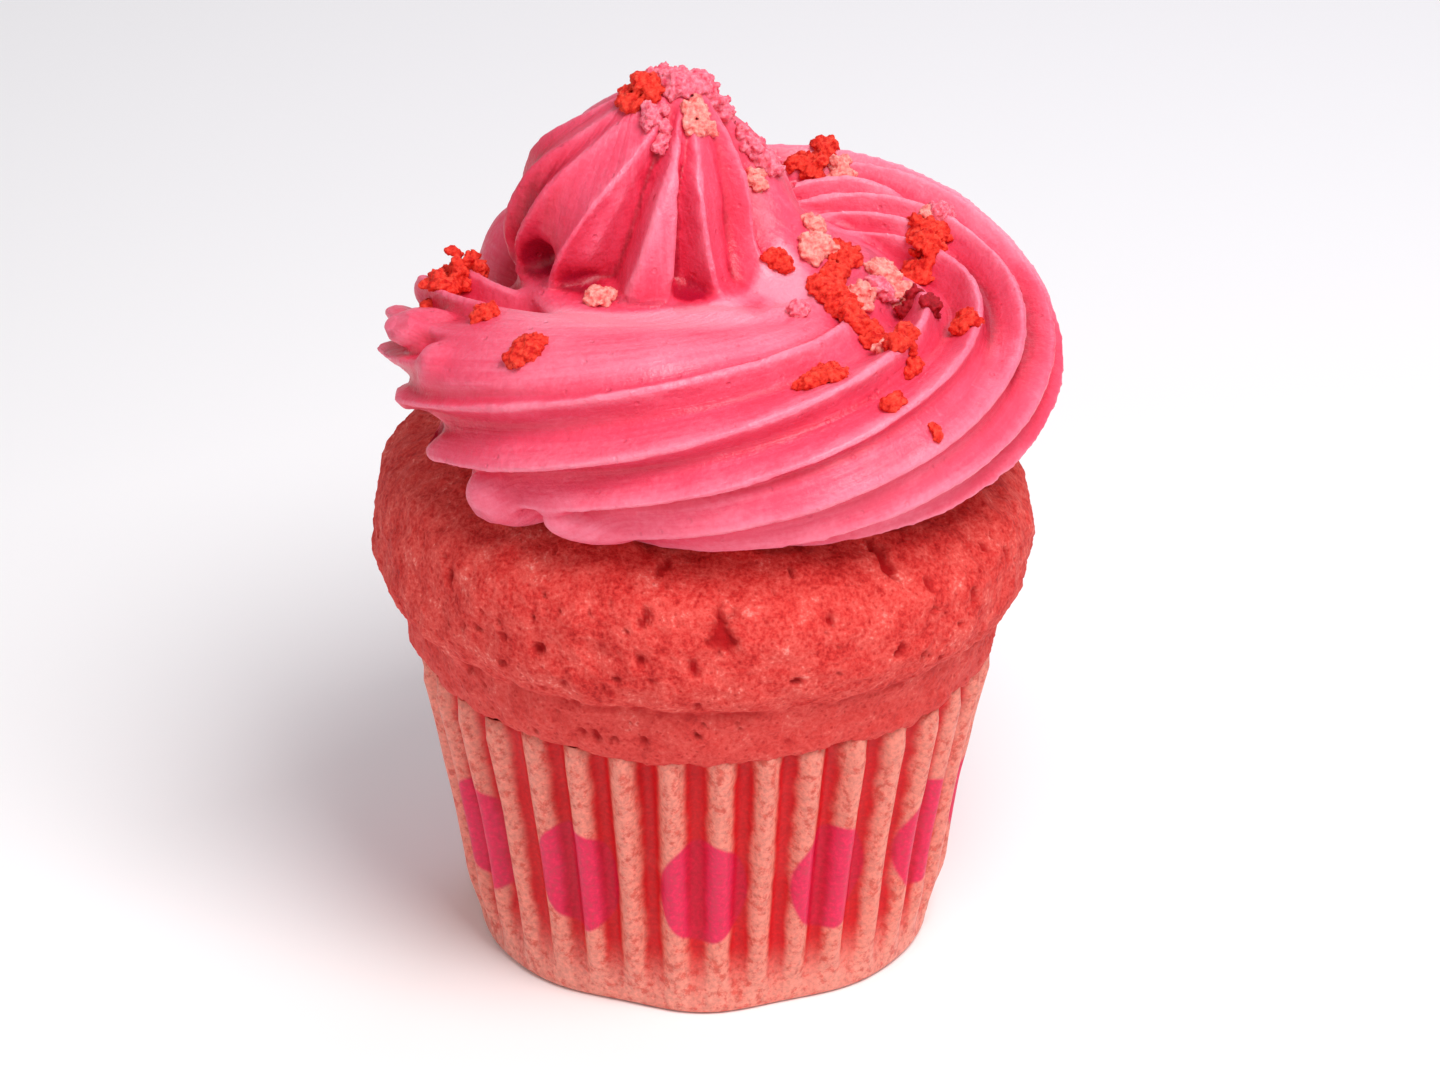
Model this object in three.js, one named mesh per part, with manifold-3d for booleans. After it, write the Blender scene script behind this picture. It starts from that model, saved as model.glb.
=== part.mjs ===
// An iced cupcake: a pleated paper case, the sponge that has risen over its rim, and a swirl of
// buttercream piped through a star nozzle and strewn with sponge crumbs.
// Millimetres, +Z up. The origin is the middle of the case's underside. The front is -Y, and the
// swirl starts at the left, -X, and runs round the front to the right, +X, and the back.
import * as THREE from "three";
import { mergeVertices } from "three/addons/utils/BufferGeometryUtils.js";
import Module from "manifold-3d";

const wasm = await Module();
wasm.setup();

// Paper case
const pleatCount = 36;
const caseHeight = 32.3;
const caseFootRadius = 24.2; // the flat disc that it stands on
const caseWallFootRadius = 25.0; // middle of the folds, where the wall leaves the floor
const caseRimRadius = 29.9; // middle of the folds at the rim
const caseCorner = 1.6; // height of the rounded corner between floor and wall
const caseFlare = 1.4; // over 1 spreads the wall more towards the rim
const pleatDepth = 2.3; // crest to valley at the rim
const paperThickness = 0.5;

// Sponge
const clearance = 0.3; // between neighbouring pieces
const rimHeight = caseHeight + clearance; // where the sponge comes out over the paper
const spongeBandRadius = 30.9; // just over the paper's rim
const creaseRadius = 32.3; // where the crust bulges out over the band
const creaseHeight = 39.8;
const spongeRadius = 35.1; // at its widest
const spongeWidestHeight = 44.8;
const spongeTopHeight = 58.8;
const domePower = 3; // 2 would be round, and more is squarer
const domeTilt = -0.045; // rise for each millimetre to the right
const crustRelief = 0.35;

// Icing
const nozzleTeeth = 12;
const swirlCentre = new THREE.Vector2(2.1, 0);
const swirlStart = 171; // degrees, counter-clockwise from +X
const swirlSlant = 54; // degrees by which the rope's outer underside starts later than its top
const fluteDepth = 0.21; // share of the rope's radius
const peakFluteDepth = 0.26;
const flutePower = 1.35; // over 1 makes the crests narrower than the flutes
const ropeFlattening = 0.95;
const ropeInside = 1.3; // how much further the rope spreads towards the middle of the ring
const ropeStartRounding = 6; // degrees over which the rope's start rounds off
const ropeEndRounding = 9;

// The rope's middle line: degrees from +X, radius of the ring, height, thickness of the rope.
const swirlStations = [
  [swirlStart, 27.1, 66.0, 9.9],
  [253, 25.3, 67.5, 11.7],
  [363, 24.4, 65.8, 11.8],
  [408, 24.6, 67.3, 12.1],
  [448, 24.4, 67.6, 11.8],
  [478, 22.5, 68.6, 11.5],
  [505, 19.6, 69.4, 10.9],
  [524, 17.2, 69.6, 10.3],
];

// The peak's height, radius and middle.
const peakStations = [
  [71.0, 11.0, -6.5, 0.6],
  [77.5, 14.3, -6.6, 0.6],
  [81.0, 14.7, -6.6, 0.6],
  [84.6, 13.8, -6.5, 0.6],
  [88.2, 12.3, -6.2, 0.6],
  [91.8, 9.0, -5.0, 0.6],
  [94.8, 5.4, -3.7, 0.6],
  [96.2, 3.2, -3.0, 0.6],
  [96.8, 1.2, -2.6, 0.6],
];
const peakTurn = 11; // degrees from +X to a crest of the peak
const smoothing = [470, 518]; // degrees between which the rope's flutes fade out

// Clusters of crumbs on the icing: x, y and width.
const crumbClusters = [
  [-6.6, -0.7, 4.5],
  [-4.5, 1.0, 3.2],
  [-1.6, -1.2, 3.6],
  [1.0, 1.0, 3.0],
  [-0.4, -3.9, 2.6],
  [-5.0, -4.4, 2.4],
  [3.8, 3.0, 2.4],
  [7.1, 8.0, 2.8],
  [6.9, 4.3, 2.4],
  [10.8, 22.0, 4.6],
  [12.9, 25.5, 2.6],
  [14.5, 19.4, 2.4],
  [-25.0, 1.6, 5.6],
  [-27.1, -2.4, 3.2],
  [-22.6, -13.2, 2.0],
  [-17.8, -21.2, 3.2],
  [-10.4, -12.5, 2.8],
  [11.3, -1.2, 2.4],
  [14.9, 5.3, 2.8],
  [7.9, -5.7, 2.2],
  [10.9, -6.1, 2.4],
  [12.6, -8.3, 3.2],
  [15.2, -11.5, 3.0],
  [16.1, -18.2, 3.0],
  [18.6, -19.4, 3.0],
  [17.4, -3.8, 2.4],
  [18.5, 0.4, 2.4],
  [21.0, -21.6, 2.8],
  [23.9, 8.7, 4.4],
  [25.2, 11.4, 3.2],
  [22.2, 3.1, 3.6],
  [21.5, -5.2, 2.4],
  [23.5, -11.8, 2.2],
  [27.1, -13.6, 3.0],
  [12.4, -26.4, 4.4],
  [19.0, -30.3, 1.2],
  [23.7, -27.4, 1.2],
  [9.5, -13.3, 2.2],
];
const crumbSpacing = 1.9; // width of cluster for each crumb in it
const crumbSeed = 11;

// The smooth icing that fills the ring, and rises behind the peak: height, radius and middle.
const fillStations = [
  [46.0, 23.0, 2.1, 0.0],
  [71.0, 22.0, 2.1, 0.0],
  [74.0, 19.0, 0.6, 0.0],
  [76.0, 16.5, -1.0, -0.5],
  [77.6, 13.5, -2.2, 0.0],
  [80.5, 10.6, 1.6, 4.0],
  [84.0, 8.6, 2.2, 5.4],
  [88.0, 5.6, 2.2, 5.8],
  [91.0, 2.6, 1.2, 4.4],
  [92.4, 0.8, 0.6, 3.6],
];

const radians = THREE.MathUtils.degToRad;

// A slow, even-handed waver between about -1 and 1.
function unevenness(angle, along) {
  const first = Math.sin(3 * angle + 2.1 * along);
  const second = Math.sin(7 * angle - 3.3 * along + 1.3);
  const third = Math.sin(11 * angle + 5.7 * along + 4.1);
  return 0.4 * first + 0.35 * second + 0.25 * third;
}

// The geometry as one closed surface, with each corner moved to place(corner).
function reshaped(geometry, place) {
  geometry.deleteAttribute("normal");
  geometry.deleteAttribute("uv");
  const closed = mergeVertices(geometry, 1e-4);
  const corners = closed.getAttribute("position");
  const corner = new THREE.Vector3();
  for (let i = 0; i < corners.count; i++) {
    corner.fromBufferAttribute(corners, i);
    const moved = place(corner);
    corners.setXYZ(i, moved.x, moved.y, moved.z);
  }
  return closed;
}

function solidOf(geometry) {
  const vertProperties = geometry.getAttribute("position").array;
  const triVerts = new Uint32Array(geometry.index.array);
  return new wasm.Manifold(new wasm.Mesh({ numProp: 3, vertProperties, triVerts }));
}

function geometryOf(solid) {
  const mesh = solid.getMesh();
  return new THREE.BufferGeometry()
    .setAttribute("position", new THREE.BufferAttribute(mesh.vertProperties, 3))
    .setIndex(new THREE.BufferAttribute(mesh.triVerts, 1));
}

// A smooth line through the stations, read by their first value, which rises.
function through(stations) {
  const first = stations[0][0];
  const last = stations[stations.length - 1][0];
  return (value) => {
    const at = THREE.MathUtils.clamp(value, first, last);
    const next = Math.max(1, stations.findIndex((station) => station[0] >= at));
    const [a, b] = [stations[next - 1], stations[next]];
    const share = (at - a[0]) / (b[0] - a[0]);
    const before = stations[Math.max(0, next - 2)];
    const after = stations[Math.min(stations.length - 1, next + 1)];
    return a.slice(1).map((start, i) => {
      const end = b[i + 1];
      const span = b[0] - a[0];
      const slopeIn = (span * (end - before[i + 1])) / (b[0] - before[0]);
      const slopeOut = (span * (after[i + 1] - start)) / (after[0] - a[0]);
      const s2 = share * share;
      const s3 = s2 * share;
      return (
        (2 * s3 - 3 * s2 + 1) * start +
        (s3 - 2 * s2 + share) * slopeIn +
        (3 * s2 - 2 * s3) * end +
        (s3 - s2) * slopeOut
      );
    });
  };
}

// ---- Paper case ----

function wallRadius(height) {
  if (height < caseCorner) {
    const drop = 1 - height / caseCorner;
    const reach = Math.sqrt(Math.max(0, 1 - drop * drop));
    return THREE.MathUtils.lerp(caseFootRadius, caseWallFootRadius, reach);
  }
  const share = (height - caseCorner) / (caseHeight - caseCorner);
  const spread = Math.pow(share, caseFlare);
  return THREE.MathUtils.lerp(caseWallFootRadius, caseRimRadius, spread);
}

// How far a fold stands out of the wall's middle, at a crest.
function foldReach(height) {
  const opening = THREE.MathUtils.smoothstep(height, 0, 0.25 * caseHeight);
  return (pleatDepth / 2) * opening * (0.55 + (0.45 * height) / caseHeight);
}

const wallHeights = [0, 0.3, 0.9, caseCorner, 4.5, 9, 20];

// The case's outline from the axis up to a height over its rim, set inwards by some distance.
function wallOutline(inset, top) {
  const wall = wallHeights.map((height) => {
    const drop = Math.max(0, 1 - height / caseCorner);
    const sideways = Math.sqrt(1 - drop * drop);
    return new THREE.Vector2(wallRadius(height) - inset * sideways, height + inset * drop);
  });
  return [new THREE.Vector2(0, inset), ...wall, new THREE.Vector2(caseRimRadius - inset, top)];
}

// Turns an outline round the axis, two steps to a pleat, and folds what lies below the sponge's rim.
function turned(outline) {
  const lathe = new THREE.LatheGeometry(outline, 2 * pleatCount).rotateX(Math.PI / 2);
  return reshaped(lathe, (corner) => {
    const radius = Math.hypot(corner.x, corner.y);
    if (corner.z > rimHeight + 1e-3 || radius < 1) return corner;
    const angle = Math.atan2(corner.y, corner.x);
    const folded = radius + foldReach(corner.z) * Math.cos(pleatCount * angle);
    return corner.set(folded * Math.cos(angle), folded * Math.sin(angle), corner.z);
  });
}

function paperCase() {
  const outside = turned([...wallOutline(0, caseHeight), new THREE.Vector2(0, caseHeight)]);
  const room = turned([...wallOutline(paperThickness, rimHeight), new THREE.Vector2(0, rimHeight)]);
  return geometryOf(solidOf(outside).subtract(solidOf(room)));
}

// ---- Sponge ----

function domeHeight(radius) {
  const share = Math.min(1, radius / spongeRadius);
  const rise = spongeTopHeight - spongeWidestHeight;
  return spongeWidestHeight + rise * Math.pow(1 - Math.pow(share, domePower), 1 / domePower);
}

function sponge() {
  const crust = new THREE.SplineCurve([
    new THREE.Vector2(creaseRadius + 0.5, creaseHeight + 0.2),
    new THREE.Vector2(spongeRadius - 0.8, spongeWidestHeight - 3),
    new THREE.Vector2(spongeRadius, spongeWidestHeight),
  ]).getPoints(3);
  const dome = [0.985, 0.955, 0.91, 0.84, 0.72, 0.5, 0].map((share) => {
    const radius = share * spongeRadius;
    return new THREE.Vector2(radius, domeHeight(radius));
  });
  const outline = [
    ...wallOutline(paperThickness + clearance, rimHeight),
    new THREE.Vector2(spongeBandRadius, rimHeight + 0.2),
    new THREE.Vector2((spongeBandRadius + creaseRadius) / 2, (rimHeight + creaseHeight) / 2),
    new THREE.Vector2(creaseRadius - 0.2, creaseHeight - 0.5),
    ...crust,
    ...dome,
  ];
  return reshaped(turned(outline), (corner) => {
    if (corner.z < rimHeight + 0.5) return corner;
    const radius = Math.hypot(corner.x, corner.y);
    const angle = Math.atan2(corner.y, corner.x);
    const raised = radius + crustRelief * unevenness(angle, corner.z / 4);
    const share = THREE.MathUtils.smoothstep(corner.z, spongeWidestHeight, spongeTopHeight - 5);
    const height = corner.z + domeTilt * corner.x * share;
    const outwards = radius > 1 ? raised / radius : 1;
    return corner.set(corner.x * outwards, corner.y * outwards, height);
  });
}

// ---- Icing ----

// The star's outline: 1 at a crest, and less in the flutes between them.
function star(nozzleAngle, depth) {
  const wave = (1 + Math.cos(nozzleTeeth * nozzleAngle)) / 2;
  return 1 - depth * (1 - Math.pow(wave, flutePower));
}

// From some share at an end to 1 at one unit from it, in a quarter round.
function rounding(distance, least) {
  const depth = 1 - THREE.MathUtils.clamp(distance, 0, 1);
  return THREE.MathUtils.lerp(least, 1, Math.sqrt(1 - depth * depth));
}

const ropeStation = through(swirlStations);

// The nozzle keeps facing the same way while it goes round, so each ridge climbs over the rope
// by a degree for each degree of the turn.
function ropePoint(nozzleAngle, share, radial) {
  const swirlEnd = swirlStations[swirlStations.length - 1][0];
  const lowness = (1 - Math.sin(radians(swirlStart + 35) - nozzleAngle)) / 2;
  const late = radial * swirlSlant * Math.pow(lowness, 1.1);
  const flute = fluteDepth - fluteDepth * star(nozzleAngle, 1);
  const from = swirlStart + late + radial * 6 * flute;
  const turn = THREE.MathUtils.lerp(from, swirlEnd, Math.pow(share, 1.25));
  const [ringRadius, height, thickness] = ropeStation(turn);
  const angle = radians(turn);
  const round = angle - nozzleAngle;
  const start = rounding((turn - from) / ropeStartRounding, 0.7);
  const end = rounding((swirlEnd - turn) / ropeEndRounding, 0.6);
  const uneven = 1 + 0.018 * unevenness(nozzleAngle, angle);
  const fluted = 1 - flute * (1 - THREE.MathUtils.smoothstep(turn, ...smoothing));
  const reach = radial * start * end * thickness * fluted * uneven;
  const sideways = Math.cos(round);
  const out = ringRadius + reach * sideways * (sideways < 0 ? ropeInside : 1);
  return new THREE.Vector3(
    swirlCentre.x + out * Math.cos(angle),
    swirlCentre.y + out * Math.sin(angle),
    height + reach * ropeFlattening * Math.sin(round),
  );
}

function rope() {
  const rows = 45;
  const cylinder = new THREE.CylinderGeometry(1, 1, 1, 4 * nozzleTeeth, rows);
  return reshaped(cylinder, (corner) => {
    const radial = Math.hypot(corner.x, corner.z);
    return ropePoint(Math.atan2(corner.x, corner.z), corner.y + 0.5, radial);
  });
}

// A drop of icing whose level cuts follow the stations.
function drop(stations, around, levels, outline) {
  const bottom = stations[0][0];
  const top = stations[stations.length - 1][0];
  const station = through(stations);
  const cylinder = new THREE.CylinderGeometry(1, 1, 1, around, levels);
  return reshaped(cylinder.rotateX(Math.PI / 2), (corner) => {
    const height = THREE.MathUtils.lerp(bottom, top, corner.z + 0.5);
    const [radius, x, y] = station(height);
    const angle = Math.atan2(corner.y, corner.x);
    const reach = Math.hypot(corner.x, corner.y) * radius * outline(angle);
    return corner.set(x + reach * Math.cos(angle), y + reach * Math.sin(angle), height);
  });
}

// The largest closed surface of a solid, which leaves out its sealed hollows and loose scraps.
function outerSurface(solid) {
  return solid.decompose().sort((a, b) => b.volume() - a.volume())[0];
}

function seeded(seed) {
  let state = seed;
  return () => {
    state = (state * 1103515245 + 12345) % 2147483648;
    return state / 2147483648;
  };
}

// Rough crumbs that lie on the icing, a few to each cluster.
function crumbs(surface) {
  const random = seeded(crumbSeed);
  const between = (low, high) => THREE.MathUtils.lerp(low, high, random());
  const target = new THREE.Mesh(geometryOf(surface));
  const down = new THREE.Vector3(0, 0, -1);
  return crumbClusters.flatMap(([x, y, width]) => {
    const count = Math.max(1, Math.round(width / crumbSpacing));
    return Array.from({ length: count }, (_, i) => {
      const size = Math.min(width / 2, between(1.15, 1.6));
      const angle = (2 * Math.PI * i) / count + between(0, 1);
      const offset = count > 1 ? (width / 2 - size) * between(0.6, 1) : 0;
      const above = new THREE.Vector3(x + offset * Math.cos(angle), y + offset * Math.sin(angle), 200);
      const hit = new THREE.Raycaster(above, down).intersectObject(target)[0].point;
      const lift = size * between(0.2, 0.6);
      return reshaped(new THREE.IcosahedronGeometry(size, 0), (corner) => {
        return corner.multiplyScalar(between(0.8, 1.25)).add(hit).setZ(corner.z + lift);
      });
    });
  });
}

function icing() {
  const peakOutline = (angle) => star(angle - radians(peakTurn), peakFluteDepth);
  const peak = drop(peakStations, 4 * nozzleTeeth, 10, peakOutline);
  const fill = drop(fillStations, 28, 12, () => 1);
  const joined = solidOf(rope()).add(solidOf(peak)).add(solidOf(fill));
  const room = solidOf(sponge()).translate([0, 0, clearance]);
  const surface = outerSurface(joined.subtract(room));
  const strewn = crumbs(surface).reduce((solid, crumb) => solid.add(solidOf(crumb)), surface);
  return geometryOf(outerSurface(strewn));
}

// ---- The cupcake ----

const cupcake = new THREE.Group();

function piece(name, geometry, colour, roughness) {
  const material = new THREE.MeshStandardMaterial({ color: colour, roughness, metalness: 0 });
  const mesh = new THREE.Mesh(geometry, material);
  mesh.name = name;
  cupcake.add(mesh);
}

piece("paper_case", paperCase(), 0xe58f85, 0.7);
piece("sponge", sponge(), 0xe8504c, 0.9);
piece("icing", icing(), 0xf76a8e, 0.45);

export default cupcake;
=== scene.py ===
# Iced cupcake: fluted paper case, risen sponge, a swirl of piped buttercream and sponge crumbs.
# Metres, +Z up, the front is -Y. Settings are in millimetres and degrees.
import math
import random

import bpy
import numpy as np
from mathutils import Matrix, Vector, noise


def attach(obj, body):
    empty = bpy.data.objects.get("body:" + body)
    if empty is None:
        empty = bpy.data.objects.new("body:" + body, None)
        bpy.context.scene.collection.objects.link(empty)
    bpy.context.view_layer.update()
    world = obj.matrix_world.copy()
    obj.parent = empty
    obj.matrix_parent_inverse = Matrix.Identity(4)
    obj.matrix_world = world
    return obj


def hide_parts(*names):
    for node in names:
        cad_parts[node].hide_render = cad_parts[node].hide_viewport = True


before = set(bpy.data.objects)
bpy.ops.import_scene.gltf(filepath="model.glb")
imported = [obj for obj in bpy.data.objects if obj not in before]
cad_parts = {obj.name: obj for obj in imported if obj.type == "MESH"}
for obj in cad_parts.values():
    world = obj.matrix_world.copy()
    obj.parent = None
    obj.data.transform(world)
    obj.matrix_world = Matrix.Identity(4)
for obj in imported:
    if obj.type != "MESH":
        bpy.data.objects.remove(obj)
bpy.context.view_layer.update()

mm = 0.001
print("frame loaded:", sorted(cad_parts))


def linearColour(hexCode):  # sRGB hex to the linear colour that a socket takes
    channels = [int(hexCode[i:i + 2], 16) / 255 for i in (0, 2, 4)]
    return [c / 12.92 if c <= 0.04045 else ((c + 0.055) / 1.055) ** 2.4 for c in channels] + [1.0]


def addNode(tree, kind, inputs=None, stops=None, **settings):  # one node with its settings and links
    node = tree.nodes.new(kind)
    for name, value in settings.items():
        setattr(node, name, value)
    for socket, value in (inputs or {}).items():
        if isinstance(value, bpy.types.NodeSocket):
            tree.links.new(value, node.inputs[socket])
        else:
            node.inputs[socket].default_value = value
    for i, (place, colour) in enumerate(stops or []):
        stop = node.color_ramp.elements[i] if i < 2 else node.color_ramp.elements.new(place)
        stop.position = place
        stop.color = colour if len(colour) == 4 else linearColour(colour)
    return node


def newMaterial(name):  # an empty material with its shader and output joined
    material = bpy.data.materials.new(name)
    material.use_nodes = True
    tree = material.node_tree
    tree.nodes.clear()
    shader = addNode(tree, "ShaderNodeBsdfPrincipled")
    addNode(tree, "ShaderNodeOutputMaterial", {"Surface": shader.outputs["BSDF"]})
    return material, tree, shader


def pointsOf(piece):  # a mesh's corners in mm
    flat = np.empty(len(piece.data.vertices) * 3, np.float32)
    piece.data.vertices.foreach_get("co", flat)
    return flat.reshape(-1, 3).astype(float) / mm


def setPoints(piece, points):
    piece.data.vertices.foreach_set("co", (points * mm).astype(np.float32).ravel())
    piece.data.update()


def normalsOf(piece):
    flat = np.empty(len(piece.data.vertices) * 3, np.float32)
    piece.data.vertices.foreach_get("normal", flat)
    return flat.reshape(-1, 3).astype(float)


def setAttribute(piece, name, values):  # one number for each corner, which the material reads
    layer = piece.data.attributes.get(name) or piece.data.attributes.new(name, "FLOAT", "POINT")
    layer.data.foreach_set("value", np.asarray(values, np.float32))


def roughness(points, size, seed=0.0, octaves=1):  # slow to fine waver, about -1 to 1, at a size in mm
    shift = Vector((seed * 13.1, seed * 7.7, seed * 3.3))
    total = np.zeros(len(points))
    for octave in range(octaves):
        scale = 2 ** octave / size
        total += np.array([noise.noise(Vector(p) * scale + shift) for p in points]) / 2 ** octave
    return total * 1.6


def smoothStep(value, low, high):
    share = np.clip((np.asarray(value, float) - low) / (high - low), 0, 1)
    return share * share * (3 - 2 * share)


def within(value, riseFrom, riseTo, fallFrom, fallTo):  # 1 between the inner two, 0 outside the outer two
    return smoothStep(value, riseFrom, riseTo) * (1 - smoothStep(value, fallFrom, fallTo))


def throughStations(stations, values):  # a smooth line through rows of numbers, read by their first one
    rows = np.array(stations, float)
    at = np.clip(values, rows[0, 0], rows[-1, 0])
    after = np.clip(np.searchsorted(rows[:, 0], at), 1, len(rows) - 1)
    a, b = rows[after - 1], rows[after]
    early, late = rows[np.maximum(after - 2, 0)], rows[np.minimum(after + 1, len(rows) - 1)]
    span = b[:, :1] - a[:, :1]
    share = (at[:, None] - a[:, :1]) / span
    slopeIn = span * (b - early) / (b[:, :1] - early[:, :1])
    slopeOut = span * (late - a) / (late[:, :1] - a[:, :1])
    line = (2 * share**3 - 3 * share**2 + 1) * a + (share**3 - 2 * share**2 + share) * slopeIn
    line += (3 * share**2 - 2 * share**3) * b + (share**3 - share**2) * slopeOut
    return line[:, 1:]


def evened(points, a, b, weight, rounds):  # draws corners to their neighbours; a and b are the ends of edges
    count = (np.bincount(a, weight, len(points)) + np.bincount(b, weight, len(points)))[:, None]
    for _ in range(rounds):
        total = np.column_stack([np.bincount(a, weight * points[b, i], len(points))
                                 + np.bincount(b, weight * points[a, i], len(points)) for i in range(3)])
        points = 0.4 * points + 0.6 * total / count
    return points


# 1 in a hollow, -1 on a ridge, by how far a corner lies under the evened surface
def hollowness(piece, rounds, full):
    ends = np.empty(len(piece.data.edges) * 2, np.int32)
    piece.data.edges.foreach_get("vertices", ends)
    a, b = ends.reshape(-1, 2).T
    points = pointsOf(piece)
    under = evened(points, a, b, np.ones(len(a)), rounds) - points
    return np.clip((under * normalsOf(piece)).sum(1) / full, -1, 1)


def selectOnly(piece):
    bpy.ops.object.select_all(action="DESELECT")
    piece.select_set(True)
    bpy.context.view_layer.objects.active = piece


def applyModifier(piece, kind, **settings):
    selectOnly(piece)
    modifier = piece.modifiers.new(kind.lower(), kind)
    for name, value in settings.items():
        setattr(modifier, name, value)
    bpy.ops.object.modifier_apply(modifier=modifier.name)


def raisedWall(name, sides, outline):  # a circle extruded and scaled up an outline of radius and height
    bpy.ops.object.select_all(action="DESELECT")
    radius, height = outline[0]
    bpy.ops.mesh.primitive_circle_add(vertices=sides, radius=radius * mm, location=(0, 0, height * mm))
    piece = bpy.context.object
    piece.name = name
    bpy.ops.object.transform_apply(location=True, rotation=True, scale=True)
    bpy.ops.object.mode_set(mode="EDIT")
    bpy.ops.mesh.select_all(action="SELECT")
    for nextRadius, nextHeight in outline[1:]:
        bpy.ops.mesh.extrude_region_move(TRANSFORM_OT_translate={"value": (0, 0, (nextHeight - height) * mm)})
        bpy.ops.transform.resize(value=(nextRadius / radius, nextRadius / radius, 1),
                                 center_override=(0, 0, 0))
        radius, height = nextRadius, nextHeight
    bpy.ops.object.mode_set(mode="OBJECT")
    return piece


def closedPoles(piece, distance=0.05):  # merges the tiny rings at the axis, and turns the faces out
    selectOnly(piece)
    bpy.ops.object.mode_set(mode="EDIT")
    bpy.ops.mesh.select_all(action="SELECT")
    bpy.ops.mesh.remove_doubles(threshold=distance * mm)
    bpy.ops.mesh.normals_make_consistent(inside=False)
    bpy.ops.object.mode_set(mode="OBJECT")


def shadeSmooth(piece):
    selectOnly(piece)
    bpy.ops.object.shade_smooth()


def finished(piece, material, *nodes):
    piece.data.materials.clear()
    piece.data.materials.append(material)
    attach(piece, "root")
    if nodes:
        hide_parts(*nodes)
    print(piece.name, sum(len(face.vertices) - 2 for face in piece.data.polygons), "triangles")


camera = {
    "target": (1.7, 0.0, 43.8),
    "elevation": 26.5,
    "distance": 900.0,
    "picture": 1440,  # pixels across
    "pixel": 0.1066,  # mm at the target for one of them
}


def makeCamera():
    rise = math.radians(camera["elevation"])
    target = Vector(camera["target"]) * mm
    back = Vector((0, -math.cos(rise), math.sin(rise)))
    bpy.ops.object.select_all(action="DESELECT")
    bpy.ops.object.camera_add(location=target + back * camera["distance"] * mm)
    seen = bpy.context.object
    seen.rotation_euler = back.to_track_quat("Z", "Y").to_euler()
    seen.data.sensor_width = 36
    seen.data.lens = 36 * camera["distance"] / (camera["picture"] * camera["pixel"])
    seen.data.clip_start = 0.01
    bpy.context.scene.camera = seen


makeCamera()
print("camera set")


paperCase = {
    "pleats": 36,
    "height": 33.2,
    "footRadius": 24.2,
    "wallFootRadius": 25.0,
    "rimRadius": 30.1,
    "corner": 1.6,
    "flare": 1.4,
    "pleatDepth": 2.3,
    "thickness": 0.22,
    "turn": 3.0,  # degrees from +X to a crest
    "sidesForPleat": 14,
    "floorRadii": (0.02, 8, 16, 21, 23.2),
    "floorEdge": 23.9,  # the wall, with its pleats, is all that lies outside this radius
    # heights, close together round the corner
    "lowRings": [0, 0.12, 0.3, 0.6, 1.0, 1.6, 2.3, 3.1, 4.0, 5.0, 6.2],
    "highRings": (7.6, 20),  # first height and number of the others
    "footWaves": ((7, 0.38), (10, 0.2)),  # number round the case, and reach
    "rimDraw": 0.65,  # the crests are drawn in under the sponge
    "drawHeight": 30.6,
}


def wallRadius(height):
    s = paperCase
    height = np.asarray(height, float)
    drop = np.clip(1 - height / s["corner"], 0, 1)
    foot = s["footRadius"] + (s["wallFootRadius"] - s["footRadius"]) * np.sqrt(1 - drop**2)
    share = np.clip((height - s["corner"]) / (s["height"] - s["corner"]), 0, None)
    return np.where(height < s["corner"], foot,
                    s["wallFootRadius"] + (s["rimRadius"] - s["wallFootRadius"]) * share ** s["flare"])


def pleatWave(angle, height):  # 1 on a crest, -1 in a valley, each pleat a little unlike the next
    s = paperCase
    waver = 0.16 * np.sin(5 * angle + 0.6) + 0.12 * np.sin(9 * angle - 1.1)
    waver = waver + 0.05 * np.sin(3 * angle + height / 9)
    phase = s["pleats"] * (angle - math.radians(s["turn"])) + waver * 1.5
    wave = np.cos(phase)
    return wave * (1.28 - 0.28 * wave**2)  # fuller, rounder crests and valleys


def foldReach(angle, height):
    s = paperCase
    opening = smoothStep(height, 0, 0.22 * s["height"])
    uneven = 1 + 0.12 * np.sin(7 * angle + 2.0) + 0.08 * np.sin(17 * angle)
    return s["pleatDepth"] / 2 * opening * (0.55 + 0.45 * height / s["height"]) * uneven


def footWaver(angle):  # the foot was pressed uneven in its tin
    fromFront = angle + math.pi / 2
    return sum(reach * np.cos(count * fromFront) for count, reach in paperCase["footWaves"]) - 0.2


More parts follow.
